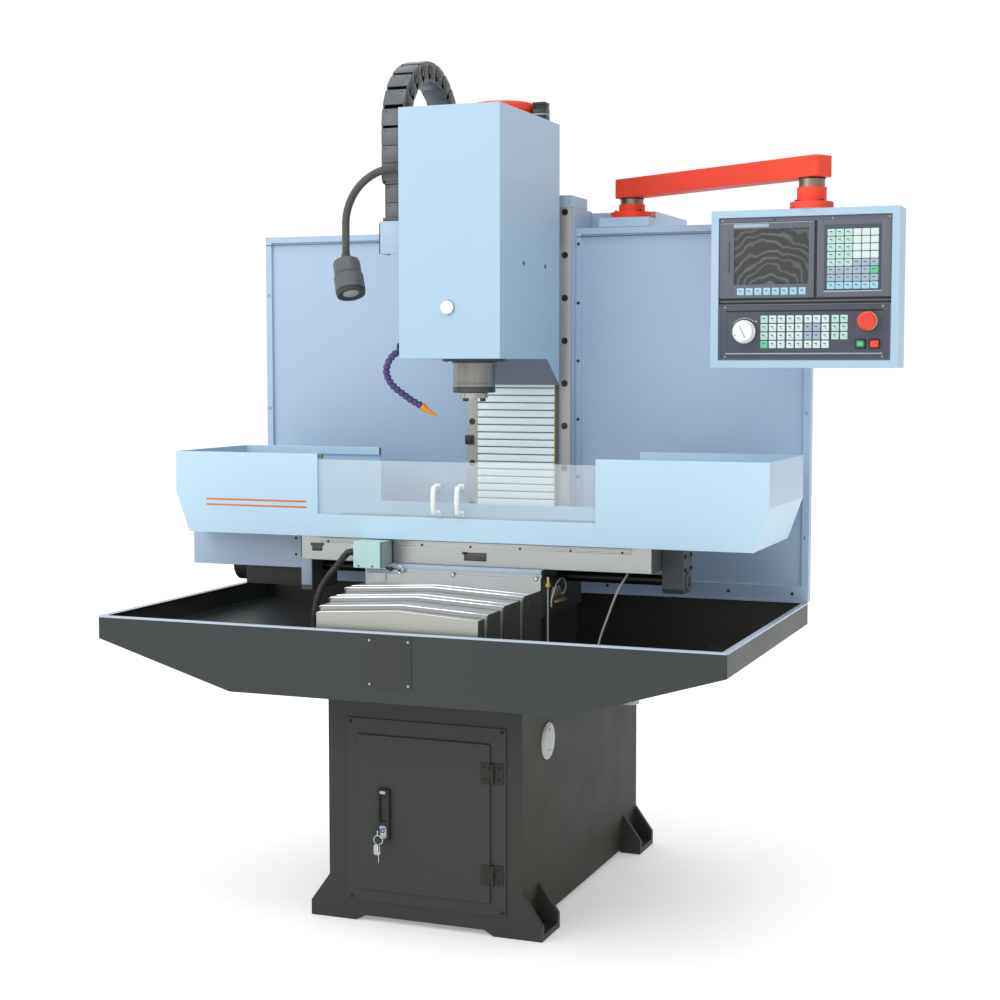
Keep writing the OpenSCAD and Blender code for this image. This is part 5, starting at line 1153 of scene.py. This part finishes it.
# coolant hose of ball-jointed segments, its valve and its nozzle
hose = {"points": [(-158, -210, 1341), (-164, -230, 1337), (-175, -240, 1322), (-181, -244, 1306),
                   (-183, -243, 1289), (-178, -240, 1272), (-167, -236, 1256), (-153, -229, 1243),
                   (-139, -221, 1231), (-125, -214, 1220), (-110, -208, 1211)],
        "tip": (-74, -194, 1184), "segments": 15, "valveRise": 12}
hoseLink = [(3, -6), (8.2, -5.2), (9, -3), (9, 0.4), (7.2, 2), (6.4, 3.4), (7.2, 5.4), (7.6, 7.4), (6, 9.6),
            (3, 10.4)]
hoseBead = [(9.1, -2.6), (9.35, -1.9), (9.35, -1.1), (9.1, -0.4)]


def oriented(profile, start, heading, sides, tone):  # a turned shape whose axis runs along a heading
    t = np.array(heading, float) / np.linalg.norm(heading)
    u = np.cross(t, (0.3, 1, 0.2))
    u /= np.linalg.norm(u)
    v = np.cross(t, u)
    points, *rest = turned(profile, (0, 0, 0), "up", sides, tone)
    return np.array(start) + points[:, :1] * u + points[:, 1:2] * v + points[:, 2:] * t, *rest


def coolantHose():
    path = smooth(hose["points"], hose["segments"] + 1)
    parts = []
    for place, heading in zip(path, np.gradient(path, axis=0)):
        parts += [oriented(hoseLink, place, heading, 16, 0), oriented(hoseBead, place, heading, 16, 1)]
    way = np.array(hose["tip"], float) - path[-1]
    run = np.linalg.norm(way)
    nozzle = [(4, 3), (9.6, 4), (9.8, 10), (9, 11.4), (8, 14), (7, 19), (5.8, 22), (3.6, run - 1), (3.2, run),
              (2, run), (1.6, run - 4)]
    x, y, z = np.array(hose["points"][0]) + (0, 0, hose["valveRise"])
    out = headBox.x0 - x
    stem = [(12, 0), (12, 3), (9, 4), (9, out + 8), (7, out + 10)]
    parts += [oriented(nozzle, path[-1], way, 24, 2), turned(stem, (headBox.x0, y, z), "left", 24, 3),
              turned([(8.4, -14), (8.4, 4), (7, 8)], (x, y, z), "up", 20, 3)]
    piece("coolantHose", "head", "purple hoseRing nozzle black", parts, ["coolant_hose"])


coolantHose()


# ribbed conduit from the switch box into the tray: r(s) = r + ripple tanh(3 cos(2 pi s / rib))
conduit = {"start": (16, 27, 32), "r": 8.0, "ripple": 1.0, "rib": 5.6,
           "steps": ((-0.3, 0, 0), (-8, 0, -0.5), (-20, 0, -4), (-46, -2, -36), (-68, -8, -64),
                     (-84, -14, -92), (-96, -20, -142), (-100, -22, -200), (-100, -22, -256))}
# thin oil tube that hangs from the table's underside into the tray
tableTube = [(427, -205, 838), (412, -208, 812), (397, -214, 784), (384, -216, 752), (370, -216, 714),
             (358, -216, 682), (350, -216, 655), (347, -216, 630)]


def switchConduit():
    start = np.array([saddle.x0, saddle.y0, guardBox.z0]) - conduit["start"]
    points = start + conduit["steps"]
    path = smooth(points, 420)
    wave = np.tanh(3 * np.cos(2 * np.pi * lengths(path) / conduit["rib"]))
    skin = tube(path, conduit["r"] + conduit["ripple"] * wave, (0, 1, 0), 14)
    piece("switchConduit", None, "conduit", [skin], ["switch_conduit"],
          blendWith=("saddle", "frame", points[1], points[-1]))


switchConduit()
print("lamp, hose and conduit finished")


# column: way strips with their screws in wells of painted shade, panel screws, a painted shadow under the
# panels' flange, lift motor's plug
ways = {"inner": 113, "screwX": 128.5, "screws": 9, "pitch": ((1, 73.2, 109.4), (-1, 83, 109)), "end": 12,
        "stop": ((-146, -124, 162, 171, 1100, 1124, 1), (-142, -128, 158, 162, 1106, 1118, 0.8))}
panels = {"rimX": 7, "rimZ": (1019, 1168, 1319, 1468, 1619), "lowX": (235, 556, 719), "lowRise": 20,
          "outerX": 9, "outerZ": (880, 1190, 1500), "shadowDrop": (23, 20.6)}
plug = {"half": 24, "drop": (78, 34, 56), "bolt": 38}


def columnTrim():
    strip, p, both, row = span("way_strips"), span("back_panel_right"), np.array([-1, 1]), ways["screws"]
    places = np.concatenate([spots(s * ways["screwX"], strip.y0, strip.z0 + first + pitch * np.arange(row))
                             for s, first, pitch in ways["pitch"]])
    places = places[places[:, 2] < strip.z1 - ways["end"]]
    bars = [block(s * ways["inner"], s * strip.x1, strip.y0, strip.y1, strip.z0, strip.z1) for s in both]
    # painted shade: a dark ring round each screw for its counterbore
    boreShade = turned([(8.6, -1), (8.6, 0.35), (6.9, 0.4)], (0, 0, 0), "front", 22, 1)
    cap = turned([(6.6, 0.3), (6.4, 1.0), (3.2, 1.1), (2.9, 0.5)], (0, 0, 0), "front", 18, 2)
    piece("wayStrips", "frame", "brushedZ rubber blackPlastic",
          bars + [repeat(boreShade, places), repeat(cap, places)], ["way_strips"])
    y = p.y0 + 0.2
    inner = np.concatenate([spots(both * (p.x0 + panels["rimX"]), y, panels["rimZ"]),
                            spots(np.outer(both, panels["lowX"]).ravel(), y, p.z0 + panels["lowRise"])])
    outer = spots(both * (p.x1 - panels["outerX"]), y, panels["outerZ"])
    piece("panelScrews", "frame", "black zinc", [screws(inner, 4, 2.4), screws(outer, 4.4, 2.2, "front", 1)])
    piece("wayStop", "frame", "enamel", [block(*bar) for bar in ways["stop"]])
    # painted shadow: a dark strip under the panels' top flange; painted highlight: the tray's bright back
    # edge, with a lip below it
    flangeShadows, edges, top = [], [], tray.z1
    low, high = (p.z1 - drop for drop in panels["shadowDrop"])
    for s in both:
        a, b = s * (p.x0 + 2), s * (p.x1 - 2)
        flangeShadows.append(block(a, b, p.y0 - 0.5, p.y0 + 0.6, low, high, 0.3))
        edges += [block(a, b, p.y0 - 2.2, p.y0 + 0.4, top + 0.2, top + 3.6, 0.6, 1),
                  block(a, b, p.y0 - 1.2, p.y0 + 0.4, top - 10, top + 0.2, 0.5, 2)]
    piece("panelShadowAndHighlight", "frame", "seam rim slate", flangeShadows + edges)
    lift, half, (low, high, middle) = span("z_motor"), plug["half"], plug["drop"]
    bolts = spots(both * plug["bolt"], (lift.y0 + lift.y1) / 2 + both * plug["bolt"], lift.z0 + 14)
    piece("liftMotorPlug", "frame", "enamel zinc",
          [block(-half, half, lift.y0 - 1, lift.y0 + 8, lift.z1 - low, lift.z1 - high, 3),
           turned([(11, 0), (11, 9), (9, 11)], (0, lift.y0 + 2, lift.z1 - middle), "front", 20, 1),
           screws(bolts, 4, 2.6, "up", 1)])


columnTrim()
print("column finished")


# swinging arm: bolts, caps and the joint rings
arm = {"pivot": (274, 280), "tip": (805.8, -44.6), "boltsIn": (46, 42), "boltZ": (-37, 17),
       "ringZ": (-4, -4.4)}


def armTrim():
    bracket, boxLid, ends = span("arm_bracket").z1, span("display_unit").z1 + 17, (arm["pivot"], arm["tip"])
    bolts = {"bracketBolts": ("frame", bracket), "flangeBolts": ("control_box", boxLid)}
    for (name, (body, z)), end, r, rise in zip(bolts.items(), ends, arm["boltsIn"], arm["boltZ"]):
        places = arc((*end, z + rise), (r, 0, 0), (0, r, 0), circle(4, 45))
        piece(name, body, "black", [screws(places, 4.6, 4, "up")])
    cap = turned([(20, -0.4), (20, 0.8), (18.6, 1.6), (6, 1.6), (5, 1)], sides=32)
    lid = span("control_arm").z1
    piece("armCaps", "arm", "red", [repeat(cap, [(*end, lid) for end in ends])])
    ring = turned([(30.2, 0), (30.9, 0.4), (30.9, 2.6), (30.2, 3)], sides=40)
    rings = {"pivotRing": ("frame", bracket), "tipRing": ("control_box", beamUnder)}
    for (name, (body, z)), end, rise in zip(rings.items(), ends, arm["ringZ"]):
        piece(name, body, "rubber", [repeat(ring, (*end, z + rise))])


armTrim()


# control box: display unit and operator panel, measured from their lower left corners
panel = {"x0": 598.3, "x1": 997.3, "z0": 1319, "split": 1462, "z1": 1648, "face": -84.6}
panelFinishes = "bezel screen field rubber keyGreen keyWhite keyGrey keyLeaf keyBlue brass amber"
tones = {name: k for k, name in enumerate(panelFinishes.split())}
display = {"screen": (36, 210, 32, 159), "pad": (246, 375, 16, 164), "end": 223, "top": 174, "bulge": 1.3,
           "screws": ((7, 6), (264, 6), (393, 6)), "lamp": 130, "soft": (43.5, 7.5, 20.6, 8, 16.6),
           "keys": (252.8, 19), "step": (19.6, 17.15), "between": 1.7,
           "bars": ((24, 26, 1.6, 60, 133, 0.4, "rubber"), (12, 23, 2.0, 62, 131, 0.8, "bezel"),
                    (35, 117, 1.8, 163, 171, 0.3, "keyGrey"))}


def plate(x0, x1, out, back, z0, z1, edge, tone="bezel"):  # a block from out to back, both from the face
    return block(x0, x1, panel["face"] - out, panel["face"] + back, z0, z1, edge, tones[tone])


def keys(tone, cells, size):  # the same cap at each cell's lower left corner
    w, h = size
    middle = (w / 2, panel["face"], h / 2)
    cap = loft(rounded(w, h, 1.6, 3), soft(1.6, 0.7, 0, 2), middle, "front", tones[tone])
    return repeat(cap, [(x, 0, z) for x, z in cells])


def legends(cells, size):  # two small plain marks on each key
    w, h = size
    marks = [plate(w * 0.24, w * 0.62, 1.75, -1.4, h * 0.54, h * 0.68, 0.1, "field"),
             plate(w * 0.40, w * 0.76, 1.75, -1.4, h * 0.32, h * 0.44, 0.1, "keyGrey")]
    return joined([repeat(mark, [(x, 0, z) for x, z in cells]) for mark in marks])


def keyboard(cells, kinds, marked, size):  # keys by kind, and marks on those listed
    return [keys(kind, [cells[c] for c in chosen], size) for kind, chosen in kinds.items()] + [
        legends([cells[c] for c in marked], size)]


def frameBars(outer, inner, out, back, tone="bezel", edge=0.9):  # four bars round an opening
    (x0, x1, z0, z1), (u0, u1, w0, w1) = outer, inner
    return [plate(*bar, edge, tone) for bar in ((x0, u0, out, back, z0, z1), (u1, x1, out, back, z0, z1),
                                                (u0 - 1, u1 + 1, out, back, z0, w0),
                                                (u0 - 1, u1 + 1, out, back, w1, z1))]


def displayUnit():
    d, f, x0, x1, z0, z1 = display, panel["face"], panel["x0"], panel["x1"], panel["split"], panel["z1"]
    glass = s0, s1, s2, s3 = np.array(d["screen"]) + (x0, x0, z0, z0)
    pad = a0, a1, a2, a3 = np.array(d["pad"]) + (x0, x0, z0, z0)
    end, top = x0 + d["end"], z0 + d["top"]
    parts = [plate(x0, x1, -1.5, 4, z0 + 0.4, z1, 0.4),
             plate(x0 + 0.5, x1 - 0.5, 0, 2, top + 1, z1 - 0.5, 0.6),
             plate(end, end + 6, -1.1, 2, z0 + 1, top + 1, 0.2, "rubber")]
    parts += frameBars((x0 + 0.4, end, z0 + 0.6, top), glass, 1.4, 2)
    parts += frameBars((end + 6, x1 - 0.4, z0 + 0.6, top + 2), pad, 0.9, 2)
    parts += [plate(a0 - 1, a1 + 1, 0.2, 2, a2 - 1, a3 + 1, 0.3, "field"),
              # painted highlight along the keypad's lower lip
              plate(a0 - 1, a1 + 2, 1.7, 0, a2 - 3.6, a2 - 0.8, 0.8, "keyGrey"),
              # painted highlight along the display's top edge
              plate(x0 + 1, end - 1, 1.5, 0, top - 1.6, top, 0.5, "keyGrey"),
              plate(s0 - 0.5, s1 + 0.5, -1.0, 3, s2 - 0.5, s3 + 0.5, 0.3, "rubber")]
    parts += [plate(x0 + a, x0 + b, out, 0, z0 + low, z0 + high, edge, tone)
              for a, b, out, low, high, edge, tone in d["bars"]]
    # the glass comes forward by bulge (1 - u^2) (1 - v^2)
    u, v = np.meshgrid(np.linspace(-1, 1, 25), np.linspace(-1, 1, 21))
    pillow = d["bulge"] * (1 - u ** 2) * (1 - v ** 2)
    sheet = np.stack([(s0 + s1) / 2 + u * (s1 - s0) / 2, f + 0.9 - pillow,
                      (s2 + s3) / 2 + v * (s3 - s2) / 2], -1)
    parts.append(surface(sheet, tones["screen"], closed=False))
    across, rise, step, count, wide = d["soft"]
    softKeys = {i: (x0 + across + step * i, z0 + rise) for i in range(count)}
    parts += keyboard(softKeys, {"keyBlue": softKeys}, softKeys, (wide, wide))
    cells = {(i, j): (x0 + d["keys"][0] + d["step"][0] * i, z0 + d["keys"][1] + d["step"][1] * j)
             for i in range(6) for j in range(8)}
    kinds = {"keyBlue": [c for c in cells if c[1] == 0], "keyLeaf": [(5, 2)],
             "keyGrey": [c for c in cells if c[1] in (1, 2) and c != (5, 2)] + [(3, 3), (4, 3), (5, 3)],
             "keyGreen": [c for c in cells if c[1] > 2 and c[0] < 3],
             "keyWhite": [c for c in cells if c[1] > 3 and c[0] > 2]}
    parts += keyboard(cells, kinds, [c for c in cells if c[0] < 3 or c[1] < 4],
                      [step - d["between"] for step in d["step"]])
    parts += [screws([(x0 + x, f, z1 - z) for x, z in d["screws"]], 2.4, 1.2, "front", tones["brass"]),
              turned([(2.4, 0), (2.2, 0.8), (1, 0.8)], (x0 + d["lamp"], f, z1 - 6), "front", 14,
                     tones["rubber"])]
    piece("displayUnit", "control_box", panelFinishes, parts, ["display_unit"])


operator = {"knob": (660.3, 1385), "stop": (945.3, 1408), "half": 27, "stem": 12, "top": 129.5, "thin": 0.02,
            "field": (17, 381, 17, 112), "arc": 32, "buttonX": (-27.5, 4.5), "buttonZ": (-62, -42),
            "wide": 23, "wall": (1.3, 1.8), "slot": (-60.6, -43.4), "post": 5.6, "screws": (16, 19, 8, 7),
            "columns": {"left": (100, 120, 140), "middle": (161, 181), "right": (202.3, 222.1, 242),
                        "side": (264.6, 284.6)}, "keyLow": 28, "keyStep": 19.4, "key": (16.8, 17)}


def operatorPanel():
    o, f, x0, x1, z0 = operator, panel["face"], panel["x0"], panel["x1"], panel["z0"]
    (kx, kz), (sx, sz), half, stem, top = o["knob"], o["stop"], o["half"], o["stem"], z0 + o["top"]
    low, high = (sz + z for z in o["slot"])
    # one flat plate, built round the openings for the stop button's stem and the two push buttons
    parts = [plate(*bar[:2], 0, 4, *bar[2:], o["thin"], "field") for bar in (
        (x0, sx - half, z0, top), (sx + half, x1, z0, top), (sx - half, sx + half, sz + stem, top),
        (sx - half, sx + half, high, sz - stem), (sx - half, sx + half, z0, low),
        (sx - half, sx - stem, sz - stem, sz + stem), (sx + stem, sx + half, sz - stem, sz + stem),
        (sx - o["post"], sx + o["post"], low, high))]
    parts += frameBars((x0 + 0.3, x1 - 0.3, z0 + 0.3, top), (x0 + 4, x1 - 4, z0 + 4, top - 3), 1, 0.5)
    a0, a1, a2, a3 = np.array(o["field"]) + (x0, x0, z0, z0)
    parts += [plate(x0 + 1, x1 - 1, -1.6, 4, top, panel["split"] - 0.3, 0.3, "rubber"),
              plate(x0 + 1, x1 - 1, -0.5, 2, top + 5, top + 8.5, 0.6),
              # painted shadow along the top of the key field
              plate(a0, a1, 0.7, 0.5, a3, a3 + 3.4, 0.3, "rubber"),
              plate(a0, a0 + 2.4, 0.6, 0.5, a2, a3, 0.3, "field"),
              plate(a1 - 2.4, a1, 0.6, 0.5, a2, a3, 0.3, "field"),
              # painted highlight along the key field's lower lip
              plate(a0, a1, 1.5, 0.5, a2 - 3, a2, 0.9, "keyGrey")]
    scale = arc((kx, f - 0.4, kz), (0, 0, o["arc"]), (o["arc"], 0, 0), np.radians(np.linspace(-58, 44, 30)))
    parts += [tube(scale, 0.55, (0, 1, 0), 6, tones["keyWhite"]),
              turned([(1.8, 0), (1.6, 0.6)], (kx + 27, f, kz + 24), "front", 12, tones["keyWhite"]),
              turned([(12.2, 0), (21.6, 0), (21.6, 4), (20.6, 5), (13, 5), (12.2, 4)], (sx, f, sz),
                     "front", 44, tones["amber"])]
    cells = {(name, i, j): (x0 + x, z0 + o["keyLow"] + o["keyStep"] * j)
             for name, columns in o["columns"].items()
             for i, x in enumerate(columns) for j in range(4) if name != "side" or j > 0}
    kinds = {"keyLeaf": [("left", 0, 0)], "keyGrey": [("right", i, j) for i in (0, 1) for j in (1, 2)],
             "keyGreen": [c for c in cells if c[0] == "side" or (c[:2] == ("left", 0) and c[2] > 0)]}
    kinds["keyWhite"] = [c for c in cells if c not in sum(kinds.values(), [])]
    parts += keyboard(cells, kinds, cells, o["key"])
    (w, h), wide = o["wall"], o["wide"]
    for x in (sx + o["buttonX"][0], sx + o["buttonX"][1]):
        z2, z3 = (sz + z for z in o["buttonZ"])
        parts += frameBars((x, x + wide, z2, z3), (x + w, x + wide - w, z2 + h, z3 - h), 3.4, 0.5,
                           "rubber", 0.6)
    left, right, foot, lid = o["screws"]
    places = spots((x0 + left, x1 - right), f, (z0 + foot, top - lid))
    parts.append(screws(places, 2.2, 1.2, "front", tones["brass"]))
    piece("operatorPanel", "control_box", panelFinishes, parts, ["operator_panel"])


knobs = {"gripH": (11, 21), "ribs": 24, "gripDepth": 0.4, "grooveTurn": -26, "dome": (21, 5, 23.5, 6.5),
               "push": (("start_button", "startButton", "buttonGreen", "keyLeaf", "button_green", -16),
                        ("stop_button", "stopButton", "buttonRed", "buttonRed", "button_red", 16)),
                        "pushZ": 52}


def controls():
    c, f, (kx, kz), (sx, sz) = knobs, panel["face"], operator["knob"], operator["stop"]

    def grip(angle, h):
        low, high = c["gripH"]
        return np.where((h > low) & (h < high), c["gripDepth"] * (np.cos(c["ribs"] * angle) - 1), 0.0)
    knob = [(4, -8), (4, 1.3), (26.4, 1.3), (27, 2.4), (27, 8), (25.8, 9.4), (24.8, 10), (24.5, 12),
            (24.5, 20), (23.4, 22.6), (21.4, 24), (6, 24.4)]
    groove = block(kx - 1.5, kx + 1.5, f - 25, f - 23, kz - 15, kz + 15, 0.6, 1)
    piece("overrideKnob", "jog_knob", "white keyGrey keyLeaf",
          [turned(knob, (kx, f, kz), "front", 144, 0, grip), turn(groove, c["grooveTurn"], (kx, f, kz), "y"),
           turned([(2.2, 23.4), (2, 24.8), (1, 24.9)], (kx - 17, f, kz - 8), "front", 12, 2)],
          ["jog_knob"])
    r, drop, low, rise = c["dome"]
    dome = [(r - drop * (1 - math.cos(t)), low + rise * math.sin(t)) for t in np.linspace(0, math.pi / 2, 7)]
    mushroom = [(11, -10), (11, 15.5), (16, 16), (20.2, 17), (21, 19), *dome, (8, 30)]
    piece("emergencyStop", "emergency_stop", "buttonRed", [turned(mushroom, (sx, f, sz), "front", 56)],
          ["emergency_stop"])
    for node, name, tone, glow, slot, shift in c["push"]:
        x, z = sx + shift, sz - c["pushZ"]
        cap = loft(rounded(20, 16, 2.4, 4), [(0.6, -7), (0, -6), (0, 3.5), (0.5, 5), (1.6, 5.8), (3.5, 6)],
                   (x, f, z), "front")
        piece(name, node, tone + " " + glow,
              [cap, block(x - 6.5, x + 6.5, f - 6.3, f - 5, z - 4.5, z + 4.5, 0.6, 1)], [node])


displayUnit()
operatorPanel()
controls()
print("control box finished")


# rear: the electrical cabinet's vents, fan grille, handle and cable glands
rear = {"lever": ((-281, -253, 0, 7, 1158, 1302), (-275, -259, 6, 15.2, 1176, 1268)), "proud": 14.3,
        "ventX": (-120, 120), "ventZ": (880, 17.0, 9), "fanZ": 1560, "rings": (14, 26, 38),
        "spoke": 50, "spokes": 4, "glandX": (-220, -180, 180, 220), "glandY": 90,
        "louvre": (150, 860, 14.0, 7)}


def rearTrim():
    body, fanZ, spoke = span("electrical_cabinet"), rear["fanZ"], rear["spoke"]
    y = body.y1 + rear["proud"]
    first, step, count = rear["ventZ"]

    def fanRing(profile, sides):
        return turned(profile, (0, y, fanZ), "back", sides, 1)
    parts = [repeat(block(-44, 44, y - 0.6, y + 3.4, -2.4, 2.4, 1.4),
                    spots(rear["ventX"], 0, first + step * np.arange(count))),
             fanRing([(62, 0), (62, 3.5), (60, 5), (52, 5.4), (51, 3.4)], 64)]
    parts += [fanRing([(r, 3), (r + 1.6, 3), (r + 1.6, 5), (r, 5)], 48) for r in rear["rings"]]
    bar = block(-1.4, 1.4, y + 3, y + 5, fanZ - spoke, fanZ + spoke, 0.5, 1)
    parts += [turn(bar, k * 180 / rear["spokes"], (0, y, fanZ), "y") for k in range(rear["spokes"])]
    parts.append(fanRing([(10, 3), (10, 6), (8, 7)], 24))
    parts += [block(a, b, y + near, y + far, low, high, 3, 1) for a, b, near, far, low, high in rear["lever"]]
    piece("cabinetDoorTrim", "cabinet_door", "blue blackPlastic", parts)
    gland = turned([(9, 0), (9, 6), (13, 6), (13, 14), (10, 16), (7, 17), (7, 30), (6, 32)], (0, 0, 0),
                   "down", 20)
    inward, first, step, count = rear["louvre"]
    places = spots(0, body.y0 + inward, first + step * np.arange(count))
    louvres = [repeat(block(x, x + 2, -36, 36, -1.8, 1.8, 0.8, 1), places)
               for x in (body.x1 - 0.4, body.x0 - 1.6)]
    piece("cabinetTrim", "frame", "blackPlastic blue",
          [repeat(gland, spots(rear["glandX"], body.y0 + rear["glandY"], body.z0)), *louvres])


piece("tableTube", None, "hoseClear", [tube(smooth(tableTube, 70), 2.6, (0, 1, 0), 8)],
      blendWith=("table", "saddle", tableTube[0], tableTube[-1]))
rearTrim()
print("rear finished")


# floor, light and camera; places in metres
studio = {"floor": 14, "sides": 96, "sky": 1.06,
          "skyStops": [(0.05, (1, 1, 0.99)), (0.85, (0.55, 0.56, 0.58))],
          "lamps": {"keyLight": ((-2.4, -4.2, 3.4), (0, 0, 1.0), 3.0, 40),
                    "topLight": ((0.4, -1.4, 4.6), (0, -0.2, 0.8), 2.6, 36)}}
view = {"lens": 62.94, "sensor": 36, "shift": -0.0078, "at": (1.6147, -4.0954, 1.3063), "tilt": 90 - 4.39,
        "turn": 21.06, "reach": (0.1, 60)}


def floorPaint():
    made = Finish("floorPaint")
    made.fix("Specular IOR Level", 0.1)
    made.feed("Base Color", made.blend(made.cloud(0.8, 2), (0.93, 0.935, 0.93), (0.95, 0.95, 0.945)))
    made.feed("Roughness", 0.75 + 0.1 * made.cloud(3, 2))
    made.fix("Emission Color", (1, 1, 0.995, 1))
    made.fix("Emission Strength", 0.3)
    return made


def backdrop():
    mesh = bpy.data.meshes.new("floor")
    rim = arc((0, 0, -0.0005), (studio["floor"], 0, 0), (0, studio["floor"], 0), circle(studio["sides"]))
    mesh.from_pydata(rim.tolist(), [], [list(range(studio["sides"]))])
    mesh.materials.append(floorPaint().material)
    floor = bpy.data.objects.new("floor", mesh)
    bpy.context.scene.collection.objects.link(floor)
    world = bpy.data.worlds.new("studio")
    bpy.context.scene.world = world
    world.use_nodes = True
    sky = Tree(world.node_tree)
    across = sky.node("ShaderNodeSeparateXYZ", None, {0: sky.node("ShaderNodeTexCoord", output="Generated")})
    ramp = sky.node("ShaderNodeValToRGB", {"stops": studio["skyStops"]}, {0: across})
    background = world.node_tree.nodes["Background"].inputs
    world.node_tree.links.new(ramp.socket, background["Color"])
    background["Strength"].default_value = studio["sky"]
    for name, (where, target, size, power) in studio["lamps"].items():
        light = bpy.data.lights.new(name, "AREA")
        light.size, light.energy, light.shape = size, power, "DISK"
        holder = bpy.data.objects.new(name, light)
        holder.location = where
        holder.rotation_euler = (Vector(target) - Vector(where)).to_track_quat("-Z", "Y").to_euler()
        bpy.context.scene.collection.objects.link(holder)


def viewpoint():
    camera = bpy.data.cameras.new("view")
    camera.lens, camera.sensor_width, camera.shift_x = view["lens"], view["sensor"], view["shift"]
    camera.clip_start, camera.clip_end = view["reach"]
    holder = bpy.data.objects.new("view", camera)
    holder.location = view["at"]
    holder.rotation_euler = (math.radians(view["tilt"]), 0, math.radians(view["turn"]))
    bpy.context.scene.collection.objects.link(holder)
    bpy.context.scene.camera = holder


backdrop()
viewpoint()
bpy.context.scene.view_settings.view_transform = "Standard"
